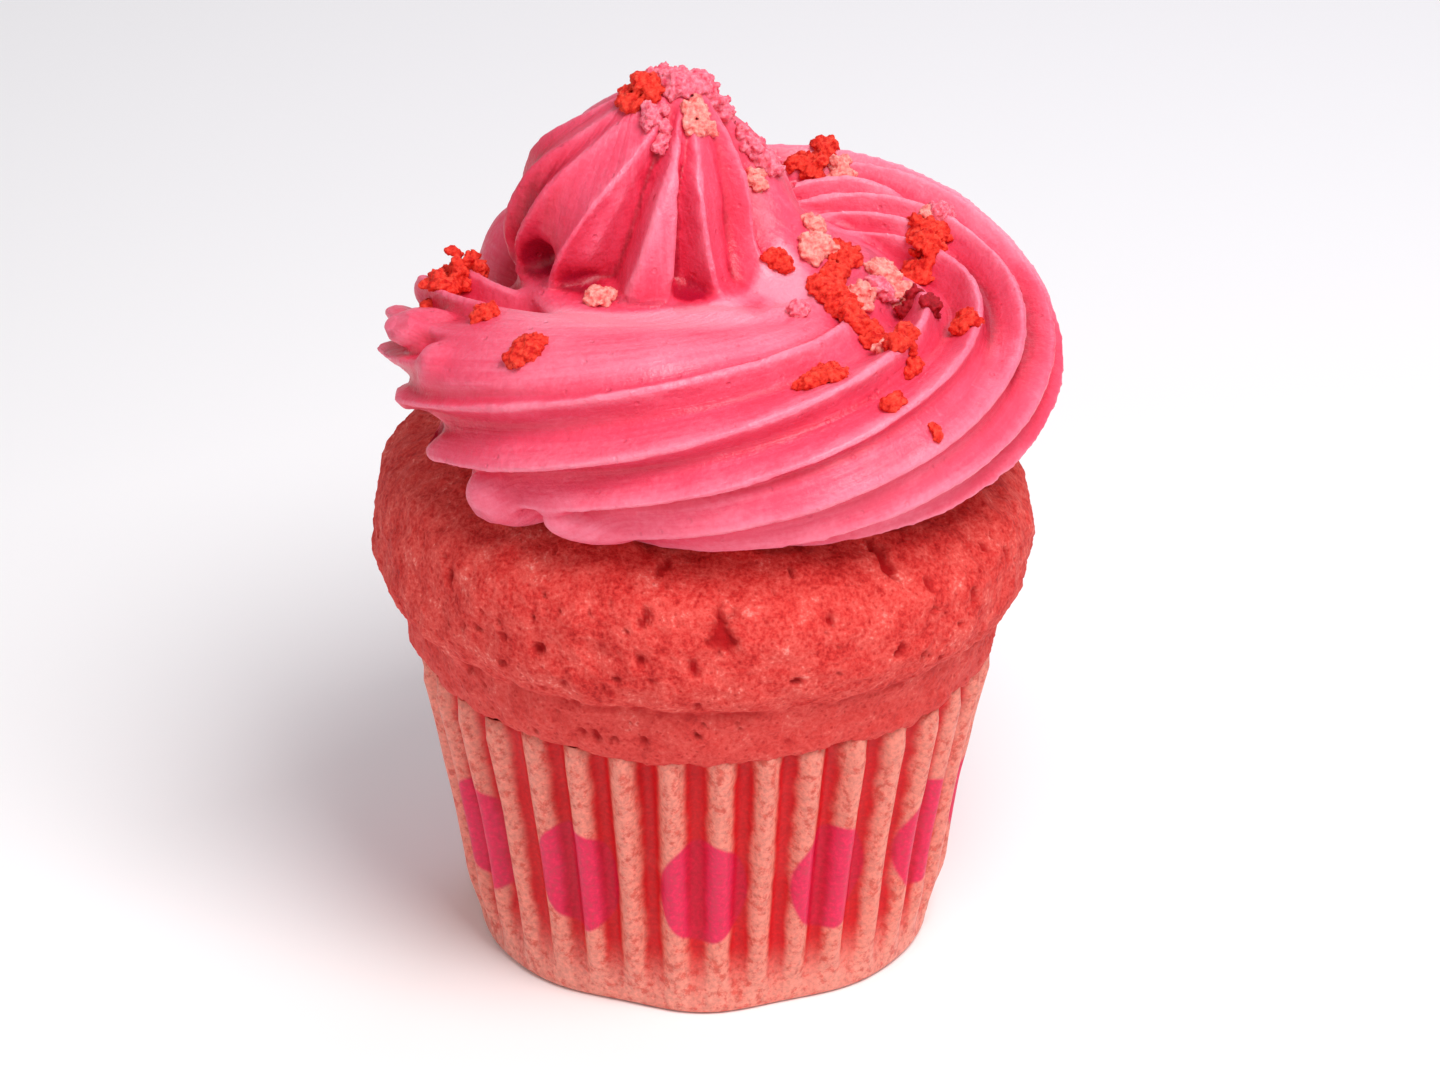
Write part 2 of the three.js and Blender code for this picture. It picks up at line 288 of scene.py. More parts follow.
def makePaperCase():
    s = paperCase
    heights = s["lowRings"] + list(np.linspace(s["highRings"][0], s["height"], s["highRings"][1]))
    outline = [(radius, 0) for radius in s["floorRadii"]]
    outline += [(float(wallRadius(height)), float(height)) for height in heights]
    piece = raisedWall("paper_case_pleated", s["pleats"] * s["sidesForPleat"], outline)
    points = pointsOf(piece)
    angle = np.arctan2(points[:, 1], points[:, 0])
    radius = np.hypot(points[:, 0], points[:, 1])
    height = points[:, 2]
    wave = pleatWave(angle, height)
    radius += np.where(radius > s["floorEdge"], foldReach(angle, height) * wave, 0)
    radius += np.where(radius > s["floorEdge"], footWaver(angle) * (1 - smoothStep(height, 0.5, 8)), 0)
    top = smoothStep(height, 20, s["height"])
    height = height + top * (0.22 * np.sin(4 * angle + 1) + 0.16 * np.sin(11 * angle) + 0.12 * wave)
    rough = roughness(np.column_stack([angle * 28, height * 0.35, angle * 0]), 3.0, 2.0, 2)
    radius += 0.09 * rough * smoothStep(height, 1, 6)
    radius -= s["rimDraw"] * smoothStep(height, s["drawHeight"], s["height"]) * smoothStep(wave, -0.2, 0.6)
    setPoints(piece, np.column_stack([radius * np.cos(angle), radius * np.sin(angle), height]))
    setAttribute(piece, "fold", wave)
    closedPoles(piece)
    applyModifier(piece, "SOLIDIFY", thickness=s["thickness"] * mm, offset=-1)
    shadeSmooth(piece)
    return piece


paperFinish = {  # greaseproof paper, fluted in a press and soaked with fat in the oven
    "crest": "E88676",  # stands off the sponge, so it stays pale
    "valley": "CE1018",  # lies on the sponge, whose red shows through the greasy paper
    "foot": "EA9080",
    "stain": "C83A2C",
    "printOnCrest": "DE2052",
    "printInValley": "C80430",
    "fleckSize": 0.5,
    "dotEvery": 3.0,  # pleats
    "dot": (1.0, 6.6),  # half width in pleats and half height in mm
    "dotHeight": 15.6,
    "dotShift": 20.5,  # centres one in front
}


def makePaperMaterial():  # a matt, waxy sheet with fibre flecks, and a print of dots on its outside
    s = paperFinish
    material, tree, shader = newMaterial("greaseproofPaper")
    place = addNode(tree, "ShaderNodeTexCoord").outputs["Object"]
    split = addNode(tree, "ShaderNodeSeparateXYZ", {"Vector": place})
    fold = addNode(tree, "ShaderNodeAttribute", attribute_name="fold")
    flecks = addNode(tree, "ShaderNodeTexNoise",
                     {"Vector": place, "Scale": 1 / (s["fleckSize"] * mm), "Detail": 3.0, "Roughness": 0.6})
    blots = addNode(tree, "ShaderNodeTexNoise", {"Vector": place, "Scale": 1 / (4.5 * mm), "Detail": 2.0})

    blotted = addNode(tree, "ShaderNodeMath", {0: blots.outputs["Fac"], 1: 1.5, 2: -0.75},
                      operation="MULTIPLY_ADD")
    depth = addNode(tree, "ShaderNodeMath", {0: fold.outputs["Fac"], 1: blotted.outputs[0]},
                    operation="SUBTRACT")
    valley = addNode(tree, "ShaderNodeMapRange",
                     {"Value": depth.outputs[0], "From Min": 0.35, "From Max": -0.75},
                     interpolation_type="SMOOTHSTEP")
    footFade = addNode(tree, "ShaderNodeMapRange",
                       {"Value": split.outputs["Z"], "From Min": 1.5 * mm, "From Max": 8.5 * mm,
                        "To Min": 0.12, "To Max": 1.0}, interpolation_type="SMOOTHSTEP")
    red = addNode(tree, "ShaderNodeMath", {0: valley.outputs[0], 1: footFade.outputs[0]},
                  operation="MULTIPLY")
    spots = addNode(tree, "ShaderNodeTexNoise",
                    {"Vector": place, "Scale": 1 / (1.1 * mm), "Detail": 4.0, "Roughness": 0.7})
    stain = addNode(tree, "ShaderNodeMapRange",
                    {"Value": spots.outputs["Fac"], "From Min": 0.47, "From Max": 0.66, "To Max": 0.7},
                    interpolation_type="SMOOTHSTEP")

    crest = addNode(tree, "ShaderNodeMix",
                    {0: footFade.outputs[0], 6: linearColour(s["foot"]), 7: linearColour(s["crest"])},
                    data_type="RGBA")
    stained = addNode(tree, "ShaderNodeMix",
                      {0: stain.outputs[0], 6: crest.outputs[2], 7: linearColour(s["stain"])},
                      data_type="RGBA")
    paper = addNode(tree, "ShaderNodeMix",
                    {0: red.outputs[0], 6: stained.outputs[2], 7: linearColour(s["valley"])},
                    data_type="RGBA")

    # the dots are drawn in pleats round the case and in height
    turn = addNode(tree, "ShaderNodeMath", {0: split.outputs["Y"], 1: split.outputs["X"]},
                   operation="ARCTAN2")
    pleat = addNode(tree, "ShaderNodeMath", {0: turn.outputs[0], 1: paperCase["pleats"] / (2 * math.pi)},
                    operation="MULTIPLY")
    every, (halfWidth, halfHeight) = s["dotEvery"], s["dot"]
    cell = addNode(tree, "ShaderNodeMath", {0: pleat.outputs[0], 1: 1 / every, 2: s["dotShift"]},
                   operation="MULTIPLY_ADD")
    inCell = addNode(tree, "ShaderNodeMath", {0: cell.outputs[0]}, operation="FRACT")
    across = addNode(tree, "ShaderNodeMath",
                     {0: inCell.outputs[0], 1: every / halfWidth, 2: -0.5 * every / halfWidth},
                     operation="MULTIPLY_ADD")
    up = addNode(tree, "ShaderNodeMath",
                 {0: split.outputs["Z"], 1: 1 / (halfHeight * mm), 2: -s["dotHeight"] / halfHeight},
                 operation="MULTIPLY_ADD")
    both = addNode(tree, "ShaderNodeCombineXYZ", {"X": across.outputs[0], "Y": up.outputs[0]})
    far = addNode(tree, "ShaderNodeVectorMath", {0: both.outputs[0]}, operation="LENGTH")
    marks = addNode(tree, "ShaderNodeMapRange",
                    {"Value": far.outputs["Value"], "From Min": 1.04, "From Max": 0.96},
                    interpolation_type="SMOOTHSTEP")
    ink = addNode(tree, "ShaderNodeMix",
                  {0: valley.outputs[0], 6: linearColour(s["printOnCrest"]),
                   7: linearColour(s["printInValley"])}, data_type="RGBA")
    worn = addNode(tree, "ShaderNodeMapRange",
                   {"Value": flecks.outputs["Fac"], "From Min": 0.25, "From Max": 0.5, "To Min": 0.84,
                    "To Max": 0.97})
    inked = addNode(tree, "ShaderNodeMath", {0: marks.outputs[0], 1: worn.outputs[0]}, operation="MULTIPLY")
    printed = addNode(tree, "ShaderNodeMix", {0: inked.outputs[0], 6: paper.outputs[2], 7: ink.outputs[2]},
                      data_type="RGBA")

    speck = addNode(tree, "ShaderNodeMapRange",
                    {"Value": flecks.outputs["Fac"], "From Min": 0.3, "From Max": 0.7, "To Min": 0.8,
                     "To Max": 1.16})
    flecked = addNode(tree, "ShaderNodeMix", {0: 1.0, 6: printed.outputs[2], 7: speck.outputs[0]},
                      data_type="RGBA", blend_type="MULTIPLY")
    tree.links.new(flecked.outputs[2], shader.inputs["Base Color"])
    dull = addNode(tree, "ShaderNodeMapRange",
                   {"Value": blots.outputs["Fac"], "From Min": 0.3, "From Max": 0.7, "To Min": 0.38,
                    "To Max": 0.58})
    tree.links.new(dull.outputs[0], shader.inputs["Roughness"])
    bump = addNode(tree, "ShaderNodeBump",
                   {"Height": flecks.outputs["Fac"], "Strength": 0.25, "Distance": 0.08 * mm})
    tree.links.new(bump.outputs[0], shader.inputs["Normal"])
    shader.inputs["IOR"].default_value = 1.47
    shader.inputs["Specular IOR Level"].default_value = 0.3
    shader.inputs["Subsurface Weight"].default_value = 0.25
    shader.inputs["Subsurface Radius"].default_value = (1.0, 0.35, 0.25)
    shader.inputs["Subsurface Scale"].default_value = 1.2 * mm
    return material


finished(makePaperCase(), makePaperMaterial(), "paper_case")


sponge = {
    "radius": 35.1,
    "widestHeight": 44.8,
    "topHeight": 58.8,
    "domePower": 3.0,
    "domeTilt": -0.045,
    "sides": 520,
    "ringStep": 0.38,  # between two rings of corners where it shows
    # radius and height of the outline, inside the case and then up the band and the overhang
    "inside": [(0.02, 0.9), (12, 0.9), (22.5, 0.9), (23.9, 2.2), (24.6, 9), (25.7, 18), (27.0, 26),
               (27.6, 31.6)],
    "overhang": [(27.6, 31.6), (28.6, 32.1), (29.5, 32.5), (30.3, 32.9), (30.8, 33.3), (31.0, 33.7),
                 (31.15, 34.2), (31.3, 34.9), (31.65, 36.4), (32.15, 39.2), (32.35, 39.75), (32.9, 40.25),
                 (33.7, 40.95), (34.5, 42.2), (35.0, 43.6), (35.1, 44.8)],
    "underIcing": (24.6, 23, 20, 15, 9, 4, 0.02),  # radii
    "held": (30.9, 31.6),  # the paper's pleats press it up to these heights
    "open": (31.4, 32.4),  # and its relief starts at these
    "sag": (33.0, 1.8),  # height and reach of the lower edge, which hangs unevenly, and lower in front
    "crease": (39.7, 0.5),  # height and half width of the broken line that the overhang leaves, which is also darkened as painted shade
    "lumps": (7.0, 0.35),  # size and reach of each scale of the crust's relief
    "crags": (2.2, 0.17),
    "grain": (0.85, 0.10),
    "pits": 430,
    "seed": 3,
    # pits that stand out: x, height, width, height of the pit, depth
    "largePits": [(1.9, 49.8, 3.0, 5.4, 1.1), (-0.8, 46.2, 1.4, 2.0, 0.7), (20.6, 53.6, 2.0, 3.2, 0.8),
                  (20.4, 45.2, 1.5, 1.6, 0.7), (-17.0, 46.5, 1.2, 1.8, 0.8), (9.6, 44.2, 1.4, 1.0, 0.7),
                  (-9.0, 44.6, 1.2, 0.9, 0.7), (28.2, 47.6, 1.3, 2.0, 0.8), (-26.0, 50.5, 1.3, 2.0, 0.9),
                  (-21.0, 43.4, 1.5, 1.0, 0.7), (13.0, 50.4, 1.0, 1.6, 0.7), (-6.2, 51.2, 1.1, 1.6, 0.7)],
}


def domeHeight(radius):
    s = sponge
    share = np.minimum(1, np.asarray(radius, float) / s["radius"])
    rise = (1 - share ** s["domePower"]) ** (1 / s["domePower"])
    return s["widestHeight"] + (s["topHeight"] - s["widestHeight"]) * rise


def leaned(x, height):  # the dome leans down to the right
    s = sponge
    return height + s["domeTilt"] * x * smoothStep(height, s["widestHeight"], s["topHeight"] - 5)


def spongeOutline():  # evenly stepped where it shows
    s = sponge
    rings = s["radius"] * np.sin(np.linspace(1.45, 0.82, 16))
    shown = s["overhang"] + [(float(radius), float(domeHeight(radius))) for radius in rings]
    lengths = np.concatenate([[0], np.cumsum([math.dist(a, b) for a, b in zip(shown, shown[1:])])])
    steps = np.linspace(0, lengths[-1], int(lengths[-1] / s["ringStep"]))[1:]
    radii, heights = np.array(shown).T
    exposed = list(zip(np.interp(steps, lengths, radii), np.interp(steps, lengths, heights)))
    return s["inside"] + exposed + [(float(r), float(domeHeight(r))) for r in s["underIcing"]]


def spongePits():  # turn, height, half width, half height and depth of each
    s = sponge
    pits = []
    for x, height, width, tall, depth in s["largePits"]:
        crustRadius = 34.9 if height < 49 else 33.8  # near enough for its turn
        turn = math.atan2(-math.sqrt(crustRadius**2 - x**2), x)
        pits.append((turn, height, width / 2, tall / 2, depth))
    chance = random.Random(s["seed"])
    for _ in range(s["pits"]):
        size = 0.2 + 0.5 * chance.random() ** 5
        turn, height = chance.uniform(-math.pi, math.pi), chance.uniform(33.5, 58)
        halfWidth, halfTall = size * chance.uniform(0.7, 1.2), size * chance.uniform(0.8, 1.6)
        pits.append((turn, height, halfWidth, halfTall, 0.22 + 0.55 * size))
    return pits


def roundWaver(angle, radius, size, seed):  # uneven round the cake, and the same at all heights
    return roughness(np.column_stack([angle * radius, angle * 0, angle * 0]), size, seed, 2)


def makeSponge():
    s = sponge
    piece = raisedWall("sponge_crumb", s["sides"], spongeOutline())
    closedPoles(piece)
    points = pointsOf(piece)
    angle = np.arctan2(points[:, 1], points[:, 0])
    radius = np.hypot(points[:, 0], points[:, 1])
    below = 1 - smoothStep(points[:, 2], *s["held"])
    press = foldReach(angle, np.minimum(points[:, 2], 32.3)) * (pleatWave(angle, points[:, 2]) - 0.15)
    radius = radius + below * np.minimum(0, press) * (radius > 23)
    sag = np.exp(-((points[:, 2] - s["sag"][0]) / s["sag"][1]) ** 2)
    points[:, 2] += sag * (0.5 * np.cos(angle) ** 2 - 0.3 * roundWaver(angle, 30, 4.0, 9.0))
    points[:, 0], points[:, 1] = radius * np.cos(angle), radius * np.sin(angle)
    points[:, 2] = leaned(points[:, 0], points[:, 2])
    setPoints(piece, points)
    roughenSponge(piece, points)
    shadeSmooth(piece)
    return piece


def roughenSponge(piece, points):  # lumps, crags, grain, pits and the crease, where no paper holds it, and a mask of painted shade for the pits and the crease
    s = sponge
    out = normalsOf(piece)
    shift = np.zeros(len(points))
    for seed, name in enumerate(("lumps", "crags", "grain")):
        size, reach = s[name]
        shift += reach * roughness(points, size, seed + 1.0, 2)
    # painted shade: how deep each corner lies in a pit, for the material to darken
    pitShade = np.zeros(len(points))
    ragged = 0.35 * roughness(points, 0.9, 6.0, 2)
    angle = np.arctan2(points[:, 1], points[:, 0])
    for turn, height, halfWidth, halfTall, depth in spongePits():
        near = np.abs(points[:, 2] - height) < 2 * halfTall
        off = (angle[near] - turn + math.pi) % (2 * math.pi) - math.pi
        far = np.hypot(off * 34 / halfWidth, (points[near, 2] - height) / halfTall) + ragged[near]
        deep = 1 - smoothStep(far, 0.45, 1.15)
        shift[near] = np.minimum(shift[near], shift[near] * (1 - deep) - depth * deep)
        pitShade[near] = np.maximum(pitShade[near], deep * min(1, depth / 0.6))
    height, halfWidth = s["crease"]
    crease = np.exp(-((points[:, 2] - height) / halfWidth) ** 2)
    crease *= smoothStep(roundWaver(angle, 33, 4.0, 14.0), -0.5, 0.5)
    # the crease's broken line also gets painted shade
    pitShade = np.maximum(pitShade, 0.7 * crease)
    opening = smoothStep(points[:, 2], *s["open"])
    setPoints(piece, points + out * ((shift - 0.3 * crease) * opening)[:, None])
    setAttribute(piece, "pitShade", pitShade * opening)


spongeFinish = {  # butter sponge dyed red, with an open crumb that the tin's heat has dried at its skin
    "skin": "CE3430",
    "deep": "A81012",
    "pale": "E25A52",
    "band": "DA4C48",
    "speck": "F29C92",
    # painted shade, dark red, in the pits, the pin holes and the crease
    "pitShade": "AA0A10",
    "grain": 0.5,
    "blot": 3.2,
}


def makeSpongeMaterial():  # dull and porous: specks, paler grains, pin holes and pits with painted shade in them, and a little light goes in
    s = spongeFinish
    material, tree, shader = newMaterial("bakedSponge")
    place = addNode(tree, "ShaderNodeTexCoord").outputs["Object"]
    split = addNode(tree, "ShaderNodeSeparateXYZ", {"Vector": place})
    pitShade = addNode(tree, "ShaderNodeAttribute", attribute_name="pitShade")
    grain = addNode(tree, "ShaderNodeTexNoise",
                    {"Vector": place, "Scale": 1 / (s["grain"] * mm), "Detail": 4.0, "Roughness": 0.65})
    blot = addNode(tree, "ShaderNodeTexNoise",
                   {"Vector": place, "Scale": 1 / (s["blot"] * mm), "Detail": 3.0, "Roughness": 0.6})
    cells = addNode(tree, "ShaderNodeTexVoronoi",
                    {"Vector": place, "Scale": 1 / (0.9 * mm), "Randomness": 1.0})
    tone = addNode(tree, "ShaderNodeMath", {0: grain.outputs["Fac"], 1: 0.58, 2: 0.0},
                   operation="MULTIPLY_ADD")
    toned = addNode(tree, "ShaderNodeMath", {0: blot.outputs["Fac"], 1: 0.46, 2: tone.outputs[0]},
                    operation="MULTIPLY_ADD")
    colour = addNode(tree, "ShaderNodeValToRGB", {"Fac": toned.outputs[0]},
                     stops=[(0.35, s["deep"]), (0.74, s["speck"]), (0.47, s["skin"]), (0.62, s["pale"])])
    lower = addNode(tree, "ShaderNodeMapRange",
                    {"Value": split.outputs["Z"], "From Min": 40.4 * mm, "From Max": 39.2 * mm,
                     "To Max": 0.32}, interpolation_type="SMOOTHSTEP")
    banded = addNode(tree, "ShaderNodeMix",
                     {0: lower.outputs[0], 6: colour.outputs["Color"], 7: linearColour(s["band"])},
                     data_type="RGBA")
    # painted shade in the pin holes, which have no depth of their own
    pinHoleShade = addNode(tree, "ShaderNodeMapRange",
                      {"Value": cells.outputs["Distance"], "From Min": 0.26, "From Max": 0.12,
                       "To Max": 0.5}, interpolation_type="SMOOTHSTEP")
    holeShade = addNode(tree, "ShaderNodeMath", {0: pinHoleShade.outputs[0], 1: pitShade.outputs["Fac"]},
                   operation="MAXIMUM")
    # the painted shade of the pin holes, pits and crease darkens the colour
    holeShaded = addNode(tree, "ShaderNodeMix",
                    {0: holeShade.outputs[0], 6: banded.outputs[2], 7: linearColour(s["pitShade"])}, data_type="RGBA")
    tree.links.new(holeShaded.outputs[2], shader.inputs["Base Color"])
    height = addNode(tree, "ShaderNodeMath",
                     {0: cells.outputs["Distance"], 1: 0.5, 2: grain.outputs["Fac"]},
                     operation="MULTIPLY_ADD")
    bump = addNode(tree, "ShaderNodeBump",
                   {"Height": height.outputs[0], "Strength": 0.75, "Distance": 0.35 * mm})
    tree.links.new(bump.outputs[0], shader.inputs["Normal"])
    dull = addNode(tree, "ShaderNodeMapRange",
                   {"Value": grain.outputs["Fac"], "From Min": 0.3, "From Max": 0.7, "To Min": 0.62,
                    "To Max": 0.85})
    tree.links.new(dull.outputs[0], shader.inputs["Roughness"])
    shader.inputs["IOR"].default_value = 1.42
    shader.inputs["Specular IOR Level"].default_value = 0.25
    shader.inputs["Subsurface Weight"].default_value = 0.2
    shader.inputs["Subsurface Radius"].default_value = (1.0, 0.25, 0.2)
    shader.inputs["Subsurface Scale"].default_value = 1.2 * mm
    return material


finished(makeSponge(), makeSpongeMaterial(), "sponge")


swirl = {
    "teeth": 12,
    "centre": (2.1, 0.0),
    "start": 171.0,
    "end": 524.0,
    "fluteDepth": 0.29,
    "flattening": 0.95,
    "inside": 1.3,  # the ring's inner side reaches this much further
    "smoothing": (470, 518),  # turns over which the flutes fade out
    "around": 288,
    "along": 380,
    "caps": (0.06, 0.97),  # shares of the length between which the rope is open
    "roundEnd": 9,  # degrees over which a ridge's end is rounded
    # the turn at which each of the nozzle's 12 ridges begins
    "ridgeStarts": [205, 190, 178, 172, 171, 172, 178, 195, 203, 214, 233, 228],
    "lipShifts": [0, 0, 0, 0, 0, 0.1, -0.1, -0.27, 0, 0, 0, 0],  # of each ridge from its even place
    "fine": (366, 388, 432, 462),  # turns where the ring's inner side has twice as many, finer flutes
    "plain": ((3.2, 4.2, 6.3, 7.0), (190, 216)),  # ridges, and turns, from which the shelf has no flutes
    "hem": ((9, 9.4, 11.4, 12), (200, 222, 315, 350)),  # ridges and turns where the flutes are shallow
    "shadedGrooveTurns": (325, 350, 405, 435),  # turns where the grooves get painted deep red shade
    "notch": 6.0,  # a flute begins so many degrees later than the ridges beside it
    # degrees from +X, radius of the ring, height, thickness of the rope
    "stations": [(171, 27.1, 66.0, 9.9), (253, 25.3, 67.5, 11.7), (363, 24.4, 65.8, 11.8),
                 (408, 24.6, 67.3, 12.1), (448, 24.4, 67.6, 11.8), (478, 22.5, 68.6, 11.5),
                 (505, 19.6, 69.4, 10.9), (524, 17.2, 69.6, 10.3)],
}


def unevenLips(phase):  # whole numbers fall on the ridges
    teeth = swirl["teeth"]
    places = np.arange(teeth + 1) + np.array(swirl["lipShifts"] + swirl["lipShifts"][:1])
    turns = np.floor(phase / teeth)
    return np.interp(phase - teeth * turns, places, np.arange(teeth + 1)) + teeth * turns


# 0 on a lip, at each whole number, and 1 in the flute, a third of the way on
def fluteShape(phase, sharp=2.4, lean=0.62):
    part = (phase % 1) ** lean
    off = 1 - 2 * np.abs(part - 0.5)
    return 1 - (1 - np.clip(np.hypot(off, 0.13) - 0.13, 0, 1)) ** sharp


def lobeShape(phase):  # the same for a ridge's blunt, round end: broad lobes with narrow clefts
    return np.sin(math.pi * (phase % 1)) ** 6


def innerSide(roundAngle):  # 1 on the side of the rope that faces the ring's middle
    return smoothStep(-np.cos(roundAngle), -0.25, 0.15)


def ropeDepth(phase, turn, begin, roundAngle):  # how far the surface lies in, as a share of the thickness
    s = swirl
    ridge = phase % s["teeth"]
    flute = fluteShape(phase, lean=0.62 + 0.3 * smoothStep(turn, 290, 350))
    inner = innerSide(roundAngle) * within(turn, *s["fine"])
    flute = flute + (0.75 * fluteShape(phase * 2, lean=0.8) - flute) * inner
    plain = within(ridge, *s["plain"][0]) * smoothStep(turn, *s["plain"][1])
    hem = within(ridge, *s["hem"][0]) * within(turn, *s["hem"][1])
    sharp = smoothStep(turn - begin, 1, 15)
    depth = s["fluteDepth"] * (flute * sharp + 1.15 * lobeShape(phase) * (1 - sharp))
    return depth * (1 - smoothStep(turn, *s["smoothing"])) * (1 - 0.97 * plain) * (1 - 0.45 * hem)


def ropePoints(nozzleAngle, share, radial):
    s = swirl
    phase = unevenLips(nozzleAngle / (2 * math.pi) * s["teeth"])
    ridge = np.floor(phase).astype(int)
    starts = np.array(s["ridgeStarts"], float)
    thisStart, nextStart = starts[ridge % s["teeth"]], starts[(ridge + 1) % s["teeth"]]
    begin = thisStart + (nextStart - thisStart) * smoothStep(phase - ridge, 0, 1)
    begin = s["start"] + (begin - s["start"] + s["notch"] * lobeShape(phase)) * radial**1.3
    turn = begin + (s["end"] - begin) * share**1.2
    ringRadius, height, thickness = throughStations(s["stations"], turn).T
    angle = np.radians(turn)
    roundAngle = angle - nozzleAngle
    early = 1 - np.clip((turn - begin) / s["roundEnd"], 0, 1)
    late = 1 - np.clip((s["end"] - turn) / s["roundEnd"], 0, 1)
    ends = (0.6 + 0.4 * np.sqrt(1 - early**2)) * (0.6 + 0.4 * np.sqrt(1 - late**2))
    reach = radial * ends * thickness * (1 - ropeDepth(phase, turn, begin, roundAngle))
    out = ringRadius + reach * np.cos(roundAngle) * np.where(np.cos(roundAngle) < 0, s["inside"], 1)
    x = s["centre"][0] + out * np.cos(angle)
    y = s["centre"][1] + out * np.sin(angle)
    return np.column_stack([x, y, height + reach * s["flattening"] * np.sin(roundAngle)])


def grid(name, across, along):  # a plain sheet of squares, 0 to 1 each way, to be rolled up
    bpy.ops.object.select_all(action="DESELECT")
    bpy.ops.mesh.primitive_grid_add(x_subdivisions=across, y_subdivisions=along, size=1 * mm,
                                    location=(0.5 * mm, 0.5 * mm, 0))
    piece = bpy.context.object
    piece.name = name
    bpy.ops.object.transform_apply(location=True, rotation=True, scale=True)
    return piece, np.clip(pointsOf(piece), 0, 1)


def makeRope():
    s = swirl
    piece, sheet = grid("rope", s["around"], s["along"])
    cap, tail = s["caps"]
    radial = np.minimum(sheet[:, 1] / cap, 1) * np.minimum((1 - sheet[:, 1]) / (1 - tail), 1)
    share = np.clip((sheet[:, 1] - cap) / (tail - cap), 0, 1)
    setPoints(piece, ropePoints(2 * math.pi * sheet[:, 0], share, np.maximum(radial, 0.0005)))
    closedPoles(piece, 0.02)
    return piece


def dropRows(sheet, stations, cap=0.04):  # a sheet's rows as heights, with a share at each end to close it
    bottom, top = stations[0][0], stations[-1][0]
    radial = np.minimum(sheet[:, 1] / cap, 1) * np.minimum((1 - sheet[:, 1]) / cap, 1)
    height = bottom + (top - bottom) * np.clip((sheet[:, 1] - cap) / (1 - 2 * cap), 0, 1)
    return np.maximum(radial, 0.0005), height


peak = {
    "around": 300,
    "levels": 150,
    "footMiddle": (-6.6, 0.6),
    "axis": (-6.5, 0.6),
    # height, radius, middle
    "stations": [(71, 11, -6.5, .6), (77.5, 14.3, -6.6, .6), (81, 14.7, -6.6, .6), (84.6, 13.8, -6.5, .6),
                 (88.2, 12.3, -6.2, .6), (91.8, 9.0, -5.0, .6), (94.8, 5.4, -3.7, .6), (96.2, 3.2, -3.0, .6),
                 (96.8, 1.2, -2.6, .6)],
    # round the peak: angle low, midway and high, depth as a share of the radius, and more depth at the foot
    "profile": [(4, 2, 3, .02, 0), (18, 17, 18, .24, 0), (31, 31, 32, 0, 0), (45, 45, 47, .24, 0),
                (60, 60, 61, 0, 0), (75, 75, 76, .24, 0), (90, 90, 91, 0, 0), (105, 106, 108, .24, 0),
                (120, 124, 130, 0, 0), (135, 142, 151, .22, 0), (150, 158, 172, 0, 0),
                (168, 174, 182, .13, 0), (182, 190, 200, 0, 0), (192, 202, 212, .15, 0),
                (200, 211, 222, 0, 0), (207, 219, 233, .12, .26), (214, 226, 243, .14, .18),
                (222, 235, 251, .11, .08), (228, 242, 258, .02, 0),
                (231, 245, 261, .14, .04), (237, 253, 264.5, .22, .01), (247, 263, 273, .38, 0),
                (256.5, 269.5, 279, .42, 0), (265, 274.5, 283, 0, 0), (275, 281, 286, .03, 0),
                (284, 287, 289, .03, 0), (289, 292, 293, .32, 0), (297, 296.5, 297.5, .27, 0),
                (303, 301, 302.6, 0, 0), (307, 305, 307, .13, 0), (313, 318, 321, .2, 0),
                (319, 327, 330, .25, .03), (326, 335, 339, 0, 0), (333, 343, 349, .26, .03),
                (341, 351, 358, .2, 0)],
    "midHeight": 86,
    "levelStep": 6.5,  # mm from midway down to low and up to high
    "levelRange": (-1.3, 1.2),  # the lips run straight down below this level, and up above it
    "flare": (322, 15, 0.42),  # the foot spreads on this side: middle, half width, share
    "flareHeight": (77, 6),  # full up to here, and gone so many mm above
    "hollowHeight": (79.1, 2.0),
    "smoothTip": (94.0, 96.8),
}


def peakLevel(height):  # -1 low on the peak, 0 midway, 1 high
    return np.clip((height - peak["midHeight"]) / peak["levelStep"], *peak["levelRange"])


def profileAngles(level):  # where each row of the profile stands at a level, in degrees
    low, middle, high, _, _ = np.array(peak["profile"], float).T
    return middle + (high - low) / 2 * level + ((high + low) / 2 - middle) * level**2


def peakDepth(angle, height):  # round one level: how far the surface lies in, as a share of the radius
    _, _, _, depths, hollows = np.array(peak["profile"], float).T
    places = profileAngles(peakLevel(height))
    deep = depths + hollows * math.exp(-((height - peak["hollowHeight"][0]) / peak["hollowHeight"][1]) ** 2)
    places = np.concatenate([places[-1:] - 360, places, places[:1] + 360])
    deep = np.concatenate([deep[-1:], deep, deep[:1]])
    after = np.clip(np.searchsorted(places, angle % 360, side="right"), 1, len(places) - 1)
    a, b = deep[after - 1], deep[after]
    gap = np.maximum(places[after] - places[after - 1], 0.1)
    part = np.clip((angle % 360 - places[after - 1]) / gap, 0, 1)
    part = np.where(a < b, 1 - (1 - part) ** 1.8, part**1.8)  # a thin lip, and a round flute
    return (a + (b - a) * part) * (1 - 0.5 * smoothStep(height, *peak["smoothTip"]))


